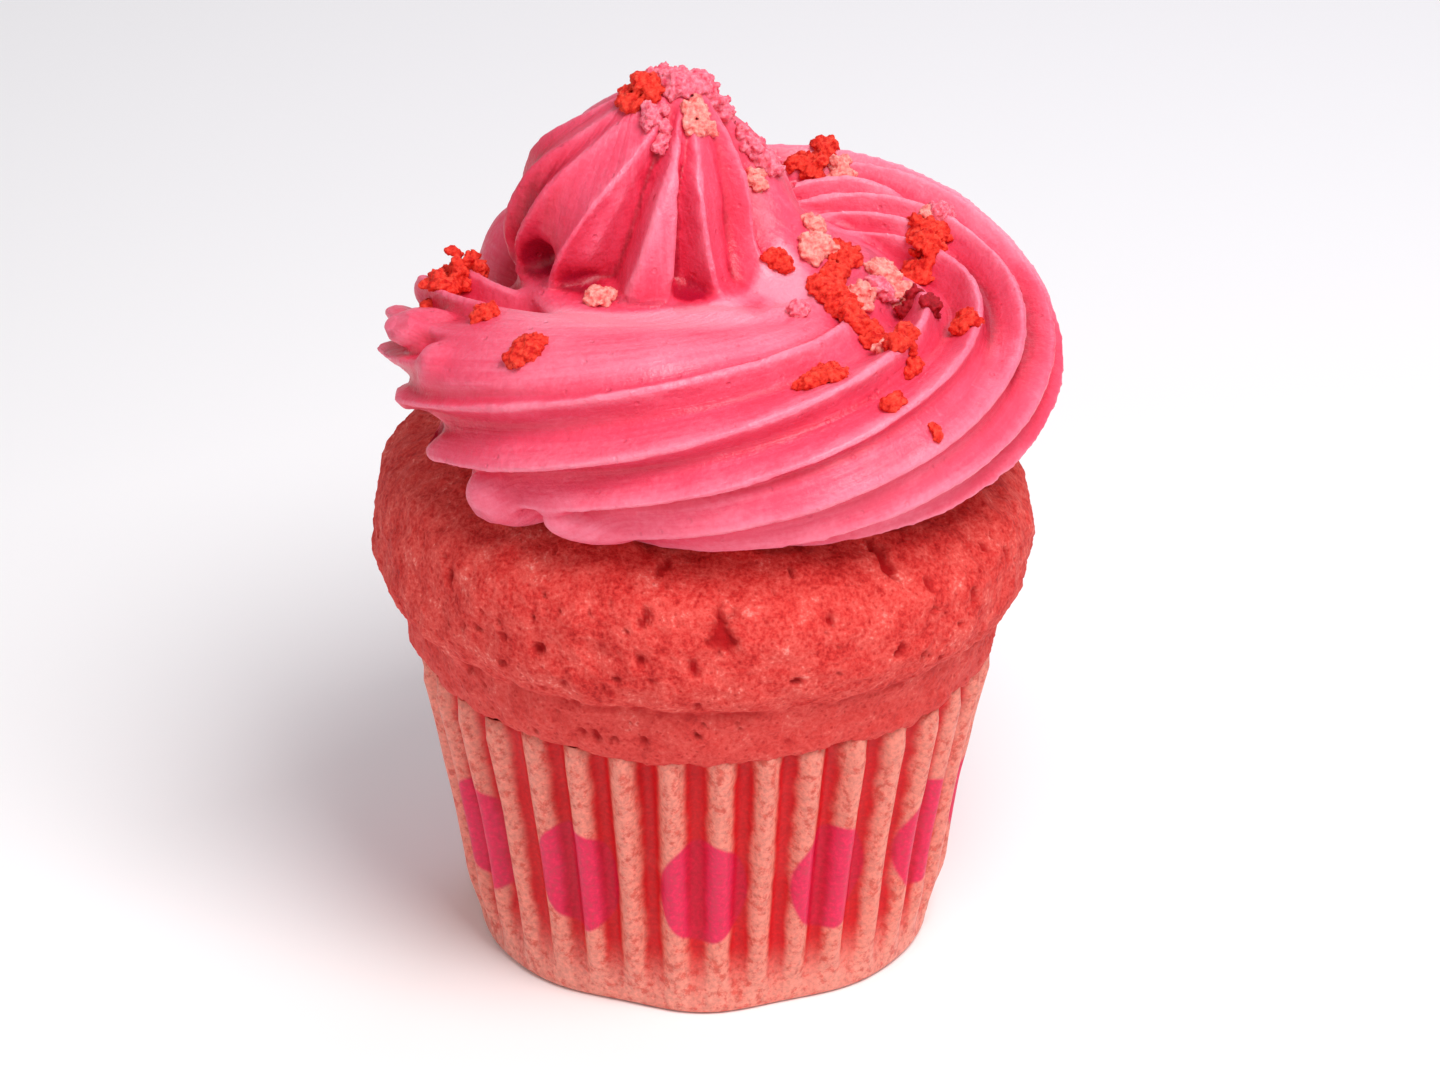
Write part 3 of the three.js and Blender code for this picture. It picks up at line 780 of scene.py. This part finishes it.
def makePeak():
    s = peak
    piece, sheet = grid("peak", s["around"], s["levels"])
    radial, height = dropRows(sheet, s["stations"])
    radius, x, y = throughStations(s["stations"], height).T
    angle = 360 * sheet[:, 0]
    reach = np.empty(len(sheet))
    for level in np.unique(sheet[:, 1]):
        row = sheet[:, 1] == level
        reach[row] = 1 - peakDepth(angle[row], height[row][0])
    middle, halfWidth, share = s["flare"]
    foot = np.clip(1 - (height - s["flareHeight"][0]) / s["flareHeight"][1], 0, 1) ** 1.6
    reach *= 1 + share * foot * np.exp(-((angle - middle) / halfWidth) ** 2)
    reach *= radius * radial
    turn = np.radians(angle)
    setPoints(piece, np.column_stack([x + reach * np.cos(turn), y + reach * np.sin(turn), height]))
    closedPoles(piece, 0.02)
    return piece


fill = {
    "around": 96,
    "levels": 90,
    "folds": (10, 0.13, 18),  # number round it, depth, and mm of height that turn them by one
    "foldHeights": (79, 82),  # they begin between these
    # the smooth icing inside the ring, and what rises behind the peak: height, radius, middle
    "ring": [(46, 23, 2.1, 0), (71, 22, 2.1, 0), (74, 20, .6, -.6), (76.5, 18, -1, -1.8),
             (77.5, 14.4, -2, -.8), (78.2, 10.2, .9, 3.5), (80.5, 9.3, 1.1, 4.2), (84, 7.7, 1.2, 5.0),
             (88, 5.2, 1.2, 5.2), (91, 2.6, .6, 4.2), (92.4, .8, .2, 3.4)],
    "shoulder": [(68, 9, 10.5, -2), (75.5, 10, 10.4, -2.6), (77.6, 8.2, 9.0, -2.2), (79.5, 6.0, 7.8, -1.4),
                 (82, 4.6, 6.0, .2), (86, 3.6, 4.2, 2.2), (89, 2.6, 3, 3.4), (91.5, 1.2, 2, 4)],
}


def makeFill(name):
    s = fill
    piece, sheet = grid("fill", s["around"], s["levels"])
    radial, height = dropRows(sheet, s[name])
    radius, x, y = throughStations(s[name], height).T
    turn = 2 * math.pi * sheet[:, 0]
    count, depth, twist = s["folds"]
    behind = smoothStep(-np.cos(turn + 1.9), -0.1, 0.5)
    rise = smoothStep(height, *s["foldHeights"])
    fold = depth * fluteShape(sheet[:, 0] * count + height / twist) * rise * behind
    reach = radius * radial * (1 - fold)
    setPoints(piece, np.column_stack([x + reach * np.cos(turn), y + reach * np.sin(turn), height]))
    closedPoles(piece, 0.02)
    return piece


icing = {
    # lumps where the first ridges fold over at the start: middle, half sizes
    "folds": [((-29.2, -9.6, 73.2), (4.3, 3.1, 2.1)), ((-27.3, -16.8, 72.0), (2.6, 2.6, 3.0)),
              ((-19.4, -23.6, 61.1), (5.4, 3.3, 3.9)), ((-10.4, -29.0, 60.6), (6.4, 2.8, 2.7))],
    # shaded hollows: middle, half size, depth
    "hollows": [((-17.0, -4.0, 78.6), 2.0, 0), ((-12.6, -9.0, 78.0), 1.8, 0), ((-1.3, -11.5, 78.2), 1.5, 0),
                ((5.2, -12.4, 78.3), 2.0, 0.6), ((-28.8, -14.6, 64.2), 2.2, 1.2)],
    "voxel": 0.28,
    "kept": 0.31,  # share of the triangles that stays: fewer where the icing is smooth
    "combing": 24,  # rounds
    "combReach": 0.3,  # how far off a lip's own run its corners still even each other out
    "smoothing": 3,  # rounds all over, on the shelf and in the hollows
    "shelfSmoothing": 160,
    "hollowSmoothing": 10,
    "waver": (7.0, 0.09),  # size and reach of the unevenness
    "grain": (1.3, 0.05),
    "sink": 0.15,  # how deep it lies in the dome
    "overhang": 34.5,  # outside this radius it hangs over the dome's side
    "flowRadii": (11, 26, 10),  # mm for a radian round the rope, along it, and round the peak
    # the smooth shelf between the peak's foot and the front ridges
    "shelf": {"turns": (200, 222, 322, 345), "heights": (73.5, 75.5, 80.5, 82), "fromFoot": (14.6, 16.4),
              "ridges": (6.35, 6.75)},
}


def flowOn(points):  # for each point: nozzle angle, turn round the ring, and 1 on the rope
    s = swirl
    x, y = points[:, 0] - s["centre"][0], points[:, 1] - s["centre"][1]
    turn = np.degrees(np.arctan2(y, x)) % 360
    turn = np.where(turn < s["start"], turn + 360, turn)
    ringRadius, height, thickness = throughStations(s["stations"], turn).T
    out = np.hypot(x, y) - ringRadius
    out = np.where(out < 0, out / s["inside"], out)
    roundAngle = np.arctan2((points[:, 2] - height) / s["flattening"], out)
    nozzleAngle = np.radians(turn) - roundAngle
    far = np.hypot(out, (points[:, 2] - height) / s["flattening"]) / thickness
    return nozzleAngle, turn, 1 - smoothStep(far, 1.06, 1.25)


def nearTo(points, middle, half):  # 1 at a place, fading out round it
    return np.exp(-((np.linalg.norm(points - np.array(middle), axis=1) / half) ** 2))


def fromFoot(points):  # mm out from the middle of the peak's foot
    x, y = peak["footMiddle"]
    return np.hypot(points[:, 0] - x, points[:, 1] - y)


def roundPeak(points):  # the angle round the peak's axis
    x, y = peak["axis"]
    return np.arctan2(points[:, 1] - y, points[:, 0] - x)


def peakPlace(points):  # mm round the peak, counted so that a lip keeps one number from foot to tip
    angle = np.degrees(roundPeak(points)) % 360
    levels = np.round(peakLevel(points[:, 2]), 2)
    place = np.empty(len(points))
    for level in np.unique(levels):
        row = levels == level
        place[row] = np.interp(angle[row], profileAngles(level), np.array(peak["profile"])[:, 0])
    return np.radians(place) * 12


def combLips(piece):  # evens a lip along its own run, which leaves it thin
    corners = np.empty(len(piece.data.loops), np.int32)
    piece.data.loops.foreach_get("vertex_index", corners)
    quads = corners.reshape(-1, 4)
    a = np.concatenate([quads[:, 0], quads[:, 1], quads[:, 0], quads[:, 1]])
    b = np.concatenate([quads[:, 1], quads[:, 2], quads[:, 2], quads[:, 3]])
    points = pointsOf(piece)
    nozzleAngle, _, onRope = flowOn(points)
    line = np.where(onRope > 0.5, nozzleAngle * icing["flowRadii"][0], peakPlace(points))
    length = np.maximum(np.linalg.norm(points[a] - points[b], axis=1), 0.01)
    weight = np.exp(-((line[a] - line[b]) / length / icing["combReach"]) ** 2) + 1e-4
    setPoints(piece, evened(points, a, b, weight, icing["combing"]))


def shelfOf(points):  # 1 on the smooth shelf
    s = icing["shelf"]
    nozzleAngle, turn, _ = flowOn(points)
    ridge = unevenLips(nozzleAngle / (2 * math.pi) * swirl["teeth"]) % swirl["teeth"]
    place = within(turn, *s["turns"]) * within(points[:, 2], *s["heights"])
    return place * smoothStep(fromFoot(points), *s["fromFoot"]) * (1 - smoothStep(ridge, *s["ridges"]))


def smoothWhere(piece, weight, rounds):
    group = piece.vertex_groups.new(name="soft")
    for tenth in range(1, 11):
        chosen = np.flatnonzero(np.round(weight * 10) == tenth)
        group.add(chosen.tolist(), tenth / 10, "REPLACE")
    applyModifier(piece, "SMOOTH", factor=0.5, iterations=rounds, vertex_group="soft")
    piece.vertex_groups.clear()


def keepLargest(piece):  # leaves out sealed hollows and loose scraps
    name = piece.name
    selectOnly(piece)
    bpy.ops.object.mode_set(mode="EDIT")
    bpy.ops.mesh.select_all(action="SELECT")
    bpy.ops.mesh.separate(type="LOOSE")
    bpy.ops.object.mode_set(mode="OBJECT")
    parts = sorted(bpy.context.selected_objects, key=lambda part: len(part.data.vertices))
    for part in parts[:-1]:
        if part is not piece:
            bpy.data.objects.remove(part)
    if parts[-1] is not piece:  # the largest one may carry the new object's name
        piece.data = parts[-1].data
        bpy.data.objects.remove(parts[-1])
    piece.name = name
    print("scraps left out:", len(parts) - 1)


def makeFold(middle, halfSizes):
    bpy.ops.object.select_all(action="DESELECT")
    bpy.ops.mesh.primitive_ico_sphere_add(subdivisions=4, radius=mm, location=(0, 0, 0))
    piece = bpy.context.object
    setPoints(piece, pointsOf(piece) * np.array(halfSizes) + np.array(middle))
    return piece


def joinIcing():  # one skin over the rope, the peak, the fills and the folds
    rope = makeRope()
    parts = [makePeak(), makeFill("ring"), makeFill("shoulder"), rope]
    parts += [makeFold(*fold) for fold in icing["folds"]]
    bpy.ops.object.select_all(action="DESELECT")
    for part in parts:
        part.select_set(True)
    bpy.context.view_layer.objects.active = rope
    bpy.ops.object.join()
    rope.name = "icing_swirl"
    bpy.ops.object.duplicate()
    exact = bpy.context.object  # draws the remeshed lips back to their true edge
    applyModifier(rope, "REMESH", mode="VOXEL", voxel_size=icing["voxel"] * mm)
    applyModifier(rope, "SHRINKWRAP", target=exact, wrap_method="NEAREST_SURFACEPOINT",
                  wrap_mode="ON_SURFACE")
    bpy.data.objects.remove(exact)
    return rope


def settleIcing(piece):  # hollows, waver and grain, and its underside on the dome
    s = icing
    points, out = pointsOf(piece), normalsOf(piece)
    for middle, half, depth in s["hollows"]:
        points -= out * (depth * nearTo(points, middle, half))[:, None]
    shift = s["waver"][1] * roughness(points, s["waver"][0], 4.0, 2)
    shift += s["grain"][1] * roughness(points, s["grain"][0], 5.0, 2)
    points = points + out * shift[:, None]
    radius = np.hypot(points[:, 0], points[:, 1])
    dome = leaned(points[:, 0], domeHeight(radius)) - s["sink"]
    points[:, 2] = np.where(radius < s["overhang"], np.maximum(points[:, 2], dome), points[:, 2])
    setPoints(piece, points)


icingPaintedShadeAndLight = {  # what each place adds to the tone, from 0 on the palest lip to 1 in the deepest hollow; mostly painted shade and painted light, as marked
    # painted shade in narrow and broad hollows; the paler thin lips are partly real translucency
    "narrow": 0.6,
    "broad": 0.55,
    # painted light on the shelf, which faces up
    "shelf": -0.62,
    "leftFlankShade": 0.28,  # painted shade on the peak's left side
    "crease": 0.28,  # painted shade in the creases between the peak's lips
    # painted shade, deep red, in the grooves of the ring's right side
    "grooveShade": 0.36,
    "front": -0.06,
    # painted shade on the ring's right edge
    "rightEdgeShade": 0.12,
    # painted shade on the rope's left start
    "leftStartShade": 0.1,
    # painted light on the ridges at the back right
    "backRightLight": -0.2,
    # painted shade in the shaded hollows
    "hollowShade": 0.7,
}


def paintedShadeAndLightOf(points, narrow, broad):
    s = icingPaintedShadeAndLight
    nozzleAngle, turn, onRope = flowOn(points)
    x, y, height = points.T
    away = fromFoot(points)
    onPeak = smoothStep(height, 77.5, 79.5)
    # round the peak's foot it isn't shaded
    dip = within(away, 13.4, 15.4, 22, 25) * smoothStep(height, 75, 77)
    broad = broad * (1 - 0.9 * dip)
    # painted shade in hollows and painted light on ridges; the thin lips' paleness is partly real
    # translucency
    tone = 0.5 + 0.5 * np.clip(s["narrow"] * narrow + s["broad"] * np.maximum(broad, -0.4), -1, 1)
    # painted light on the shelf, palest near the peak's foot
    tone += s["shelf"] * shelfOf(points) * (1 - 0.9 * smoothStep(away, 16.5, 24))
    # painted shade on the peak's left side
    tone += s["leftFlankShade"] * smoothStep(peak["axis"][0] - x, 5, 12) * onPeak * (1 - smoothStep(away, 14.5, 16))
    # painted shade in the creases between the peak's lips
    tone += s["crease"] * np.clip(narrow, 0, 1) ** 1.4 * onPeak * (1 - smoothStep(away, 14, 16))
    # painted shade in the grooves of the ring's right side
    tone += s["grooveShade"] * grooveShadeOf(nozzleAngle, turn) * onRope
    tone += s["front"] * onRope * within(turn, 200, 225, 300, 330)
    # painted shade on the right edge
    tone += s["rightEdgeShade"] * smoothStep(x, 31, 36)
    # painted shade on the rope's left start
    tone += s["leftStartShade"] * smoothStep(-x, 16, 24) * onRope
    # painted light at the back right
    tone += s["backRightLight"] * smoothStep(y, 2, 10) * smoothStep(x, 4, 14)
    # painted shade in the shaded hollows
    for middle, half, _ in icing["hollows"]:
        tone += s["hollowShade"] * nearTo(points, middle, half)
    return tone


def grooveShadeOf(nozzleAngle, turn):  # 1 in the grooves of the ring's right side, which get painted deep red shade
    part = unevenLips(nozzleAngle / (2 * math.pi) * swirl["teeth"]) % 1
    outer = 1 - innerSide(np.radians(turn) - nozzleAngle)
    return np.sin(math.pi * part**0.7) ** 2 * outer * within(turn, *swirl["shadedGrooveTurns"])


def makeIcing():
    s = icing
    piece = joinIcing()
    combLips(piece)
    settleIcing(piece)
    applyModifier(piece, "SMOOTH", factor=0.5, iterations=s["smoothing"])
    smoothWhere(piece, shelfOf(pointsOf(piece)), s["shelfSmoothing"])
    keepLargest(piece)
    narrow, broad = hollowness(piece, 36, 0.75), hollowness(piece, 150, 1.5)
    smoothWhere(piece, np.clip(1.5 * np.maximum(narrow, broad), 0, 1), s["hollowSmoothing"])
    points = pointsOf(piece)
    nozzleAngle, turn, onRope = flowOn(points)
    ropeRadius, ringRadius, peakRadius = s["flowRadii"]
    onRing = onRope > 0.5
    # the flute attribute holds each corner's painted shade and light
    setAttribute(piece, "flute", paintedShadeAndLightOf(points, narrow, broad))
    setAttribute(piece, "across", np.where(onRing, nozzleAngle * ropeRadius, roundPeak(points) * peakRadius))
    setAttribute(piece, "along", np.where(onRing, np.radians(turn) * ringRadius, points[:, 2]))
    applyModifier(piece, "DECIMATE", ratio=s["kept"])
    shadeSmooth(piece)
    return piece


icingFinish = {  # buttercream: butter and icing sugar, beaten with air, dyed pink and piped cold
    # colours from the pale lip to the painted shade of flutes, clefts and hollows
    "lip": "F48CA2",
    "edge": "EE6E88",
    "body": "E64C6A",
    "flute": "DC304E",
    "cleftShade": "B40A2C",
    "hollowShade": "A80A2C",
    "shine": 0.4,
    "pitSize": 2.2,
    "streak": (0.9, 13.0),  # width and length of a drag mark
    "grain": 0.55,
}


# satin and faintly translucent: thin lips look paler, with drag streaks, sugar grain and small air pits; the
# flute attribute brings in painted shade and light
def makeIcingMaterial():
    s = icingFinish
    material, tree, shader = newMaterial("pipedButtercream")
    place = addNode(tree, "ShaderNodeTexCoord").outputs["Object"]
    flute = addNode(tree, "ShaderNodeAttribute", attribute_name="flute")
    across = addNode(tree, "ShaderNodeAttribute", attribute_name="across")
    along = addNode(tree, "ShaderNodeAttribute", attribute_name="along")
    width, length = s["streak"]
    streakAcross = addNode(tree, "ShaderNodeMath", {0: across.outputs["Fac"], 1: 1 / width},
                           operation="MULTIPLY")
    streakAlong = addNode(tree, "ShaderNodeMath", {0: along.outputs["Fac"], 1: 1 / length},
                          operation="MULTIPLY")
    flow = addNode(tree, "ShaderNodeCombineXYZ", {"X": streakAcross.outputs[0], "Y": streakAlong.outputs[0]})
    streaks = addNode(tree, "ShaderNodeTexNoise",
                      {"Vector": flow.outputs[0], "Scale": 1.0, "Detail": 3.0, "Roughness": 0.6})
    soft = addNode(tree, "ShaderNodeTexNoise", {"Vector": place, "Scale": 1 / (6 * mm), "Detail": 3.0})
    fine = addNode(tree, "ShaderNodeTexNoise",
                   {"Vector": place, "Scale": 1 / (s["grain"] * mm), "Detail": 3.0, "Roughness": 0.6})
    cells = addNode(tree, "ShaderNodeTexVoronoi",
                    {"Vector": place, "Scale": 1 / (s["pitSize"] * mm), "Randomness": 1.0})

    tone = addNode(tree, "ShaderNodeMath", {0: soft.outputs["Fac"], 1: 0.24, 2: -0.12},
                   operation="MULTIPLY_ADD")
    streaked = addNode(tree, "ShaderNodeMath", {0: streaks.outputs["Fac"], 1: 0.36, 2: -0.18},
                       operation="MULTIPLY_ADD")
    grained = addNode(tree, "ShaderNodeMath", {0: fine.outputs["Fac"], 1: 0.24, 2: -0.12},
                      operation="MULTIPLY_ADD")
    marks = addNode(tree, "ShaderNodeMath", {0: streaked.outputs[0], 1: grained.outputs[0]}, operation="ADD")
    uneven = addNode(tree, "ShaderNodeMath", {0: tone.outputs[0], 1: marks.outputs[0]}, operation="ADD")
    toned = addNode(tree, "ShaderNodeMath", {0: flute.outputs["Fac"], 1: uneven.outputs[0]}, operation="ADD")
    # painted shade and light: the flute tone picks the colour, pale lip to dark hollow
    colour = addNode(tree, "ShaderNodeValToRGB", {"Fac": toned.outputs[0]},
                     stops=[(0.05, s["lip"]), (1.0, s["hollowShade"]), (0.3, s["edge"]), (0.48, s["body"]),
                            (0.74, s["flute"]), (0.92, s["cleftShade"])])
    tree.links.new(colour.outputs["Color"], shader.inputs["Base Color"])

    pits = addNode(tree, "ShaderNodeMapRange",
                   {"Value": cells.outputs["Distance"], "From Min": 0.07, "From Max": 0.17, "To Min": 0.0,
                    "To Max": 1.0}, interpolation_type="SMOOTHSTEP")
    relief = addNode(tree, "ShaderNodeMath", {0: fine.outputs["Fac"], 1: 1.1, 2: pits.outputs[0]},
                     operation="MULTIPLY_ADD")
    height = addNode(tree, "ShaderNodeMath", {0: streaks.outputs["Fac"], 1: 1.6, 2: relief.outputs[0]},
                     operation="MULTIPLY_ADD")
    bump = addNode(tree, "ShaderNodeBump",
                   {"Height": height.outputs[0], "Strength": 0.55, "Distance": 0.22 * mm})
    tree.links.new(bump.outputs[0], shader.inputs["Normal"])
    gloss = addNode(tree, "ShaderNodeMapRange",
                    {"Value": soft.outputs["Fac"], "From Min": 0.3, "From Max": 0.7,
                     "To Min": s["shine"] - 0.08, "To Max": s["shine"] + 0.12})
    tree.links.new(gloss.outputs[0], shader.inputs["Roughness"])
    shader.inputs["IOR"].default_value = 1.45
    shader.inputs["Specular IOR Level"].default_value = 0.4
    shader.inputs["Coat Weight"].default_value = 0.06
    shader.inputs["Coat Roughness"].default_value = 0.22
    shader.inputs["Subsurface Weight"].default_value = 0.25
    shader.inputs["Subsurface Radius"].default_value = (1.0, 0.3, 0.35)
    shader.inputs["Subsurface Scale"].default_value = 1.0 * mm
    return material


icingPiece = makeIcing()
finished(icingPiece, makeIcingMaterial(), "icing")


crumbs = {
    "seed": 11,
    "grain": (0.36, 0.82),  # radius of one grain
    "spread": 1.2,
    "crowding": (6, 1.7),  # a cluster of width w has 6 w^1.7 grains
    "unevenness": (0.9, 0.38),  # size and reach on one grain
    "pitting": (0.45, 0.17),  # and on the clotted surface
    "fuse": 0.17,
    "kinds": {
        "red": ("F84A38", "BC0608"),
        "pink": ("F68A9C", "DA4660"),
        "pale": ("FCA69C", "E4605E"),
        "dark": ("B01828", "8A0E1A"),
    },
    # x, y, width, kind
    "clusters": [(-6.6, -0.7, 4.5, "red"), (-4.5, 1, 3.6, "pink"), (-2.4, -0.6, 3.8, "pink"),
                 (-0.2, 0.8, 3.2, "pink"), (-0.6, -3.5, 2.8, "pale"),
                 (-5, -4.4, 2.4, "pink"), (1.8, 1.6, 2.2, "pink"), (4.3, 1.2, 1.7, "pink"),
                 (5.9, 1.6, 2, "pink"), (6.9, 1.4, 1.8, "pink"), (5.4, -0.9, 1.4, "pale"),
                 (7.6, 8, 1.6, "pink"), (10.8, 22, 4.2, "red"), (12.9, 25.5, 3, "red"),
                 (14.5, 20, 2.4, "pale"), (17, 22.5, 1.4, "pink"), (-25.6, 1, 5.6, "red"),
                 (-27.6, -2.4, 3.2, "red"), (-22.6, -13.6, 2.1, "red"), (-17.8, -22.4, 2.6, "red"),
                 (-18.7, -23.4, 2, "red"), (-10.5, -12, 2.6, "pale"),
                 (11.3, -1.2, 2, "pale"), (12.1, -4.2, 2.4, "pale"), (7.8, -7.4, 2.2, "red"),
                 (14.5, -4.1, 3, "red"), (11.2, -5.4, 2.2, "pale"),
                 (13, -9.8, 3.4, "red"), (13.7, -7.6, 2.4, "red"), (14.7, -11.7, 3.2, "red"),
                 (16.2, -14.6, 3.2, "red"), (17.9, -17, 3, "red"),
                 (20.4, -20.8, 3.2, "red"), (19, -20.2, 1.8, "pale"), (16.5, -9.4, 2.2, "pale"),
                 (18.4, -7.1, 2.4, "pink"), (18.6, -3.6, 2.8, "pale"),
                 (20.3, -5.6, 2.2, "pale"), (23.9, 8.7, 3.6, "red"), (25.2, 11.4, 2.8, "pink"),
                 (24, 10.6, 1.8, "pale"), (23.2, 3.4, 3.6, "red"),
                 (22.7, 1.4, 2.6, "red"), (23.5, -11.8, 1.8, "dark"), (21.4, -8.2, 1.6, "dark"),
                 (27.1, -13.4, 2.6, "red"), (12.5, -26, 3.6, "red"),
                 (11, -26.8, 2, "red"), (19.3, -28, 1.6, "red"), (23.7, -27.4, 1.1, "red"),
                 (9.6, -14.2, 1.5, "pink")],
}


def placeGrains(kind):  # place, size and spin of each grain on the icing
    s = crumbs
    chance = random.Random(s["seed"] + len(kind) * 7)
    grains = []
    for x, y, width, named in s["clusters"]:
        if named != kind:
            continue
        half = width / 2 * s["spread"]
        for _ in range(max(3, round(s["crowding"][0] * width ** s["crowding"][1]))):
            far = half * math.sqrt(chance.random()) * 0.85
            turn = chance.uniform(0, 2 * math.pi)
            gx, gy = x + far * math.cos(turn), y + far * math.sin(turn)
            hit, spot, out, _ = icingPiece.ray_cast(Vector((gx, gy, 200)) * mm, Vector((0, 0, -1)))
            if not hit:
                continue
            size = min(chance.uniform(*s["grain"]), half * 0.8)
            lift = size * 0.35 + chance.random() * max(0, half - far) * 0.75
            grains.append((spot + (out * 0.5 + Vector((0, 0, 0.5))) * lift * mm, size,
                           chance.random() * 6.28))
    return grains


def makeCrumbs(kind):
    s = crumbs
    grains = placeGrains(kind)
    bpy.ops.object.select_all(action="DESELECT")
    bpy.ops.mesh.primitive_ico_sphere_add(subdivisions=2, radius=1 * mm, location=(0, 0, 0))
    master = bpy.context.object
    base = pointsOf(master)
    copies = []
    for i, (spot, size, spin) in enumerate(grains):
        grain = bpy.data.objects.new("grain", master.data.copy())
        bpy.context.collection.objects.link(grain)
        uneven = 1 + s["unevenness"][1] * roughness(base, s["unevenness"][0], i + spin, 2)
        stretch = np.array([1 + 0.45 * math.sin(spin), 1 + 0.45 * math.cos(2 * spin),
                            0.9 + 0.3 * math.sin(3 * spin)])
        setPoints(grain, base * uneven[:, None] * size * stretch + np.array(spot) / mm)
        copies.append(grain)
    bpy.data.objects.remove(master)
    bpy.ops.object.select_all(action="DESELECT")
    for grain in copies:
        grain.select_set(True)
    bpy.context.view_layer.objects.active = copies[0]
    bpy.ops.object.join()
    piece = copies[0]
    piece.name = "crumbs_" + kind
    applyModifier(piece, "REMESH", mode="VOXEL", voxel_size=s["fuse"] * mm)
    points = pointsOf(piece)
    size, reach = s["pitting"]
    setPoints(piece, points + normalsOf(piece) * (reach * roughness(points, size, 8.0, 2))[:, None])
    shadeSmooth(piece)
    return piece


def makeCrumbMaterial(kind):  # dry grains of sponge: matt, with a rough open face
    light, dark = crumbs["kinds"][kind]
    material, tree, shader = newMaterial(kind + "SpongeCrumb")
    place = addNode(tree, "ShaderNodeTexCoord").outputs["Object"]
    grain = addNode(tree, "ShaderNodeTexNoise",
                    {"Vector": place, "Scale": 1 / (0.6 * mm), "Detail": 3.0, "Roughness": 0.6})
    colour = addNode(tree, "ShaderNodeValToRGB", {"Fac": grain.outputs["Fac"]},
                     stops=[(0.33, dark), (0.66, light)])
    tree.links.new(colour.outputs["Color"], shader.inputs["Base Color"])
    bump = addNode(tree, "ShaderNodeBump",
                   {"Height": grain.outputs["Fac"], "Strength": 0.7, "Distance": 0.25 * mm})
    tree.links.new(bump.outputs[0], shader.inputs["Normal"])
    shader.inputs["Roughness"].default_value = 0.75
    shader.inputs["Specular IOR Level"].default_value = 0.2
    shader.inputs["Subsurface Weight"].default_value = 0.4
    shader.inputs["Subsurface Radius"].default_value = (1.0, 0.3, 0.2)
    shader.inputs["Subsurface Scale"].default_value = 1.0 * mm
    return material


for kind in crumbs["kinds"]:
    finished(makeCrumbs(kind), makeCrumbMaterial(kind))


studio = {
    "floor": "FAF9F9",
    "world": ("FFFFFF", 0.38),
    "aim": (0, 0, 50),
    # place, size in mm, colour, watts
    "lamps": [((150, -250, 500), 270, "FFFFFF", 2.75), ((-320, -300, 160), 320, "FFFCFA", 0.32),
              ((340, -240, 130), 300, "FFFAF6", 0.26), ((120, 300, 340), 240, "F0EAFF", 0.36)],
}


def makeStudio():
    s = studio
    bpy.ops.object.select_all(action="DESELECT")
    bpy.ops.mesh.primitive_plane_add(size=4, location=(0, 0, -0.0001))
    floor = bpy.context.object
    floor.name = "floor"
    material, tree, shader = newMaterial("paintedTable")
    place = addNode(tree, "ShaderNodeTexCoord").outputs["Object"]
    cloud = addNode(tree, "ShaderNodeTexNoise", {"Vector": place, "Scale": 6.0})
    tint = addNode(tree, "ShaderNodeMapRange",
                   {"Value": cloud.outputs["Fac"], "To Min": 0.985, "To Max": 1.0})
    colour = addNode(tree, "ShaderNodeMix", {0: 1.0, 6: linearColour(s["floor"]), 7: tint.outputs[0]},
                     data_type="RGBA", blend_type="MULTIPLY")
    tree.links.new(colour.outputs[2], shader.inputs["Base Color"])
    shader.inputs["Roughness"].default_value = 0.8
    floor.data.materials.append(material)
    world = bpy.data.worlds.new("paleStudio")
    bpy.context.scene.world = world
    world.use_nodes = True
    shade, strength = s["world"]
    world.node_tree.nodes["Background"].inputs["Color"].default_value = linearColour(shade)
    world.node_tree.nodes["Background"].inputs["Strength"].default_value = strength
    for spot, size, shade, power in s["lamps"]:
        aim = Vector(s["aim"]) - Vector(spot)
        bpy.ops.object.light_add(type="AREA", location=Vector(spot) * mm)
        lamp = bpy.context.object
        lamp.rotation_euler = aim.to_track_quat("-Z", "Y").to_euler()
        lamp.data.size = size * mm
        lamp.data.energy = power
        lamp.data.color = linearColour(shade)[:3]
    bpy.context.scene.view_settings.view_transform = "Standard"


makeStudio()
print("studio lit")
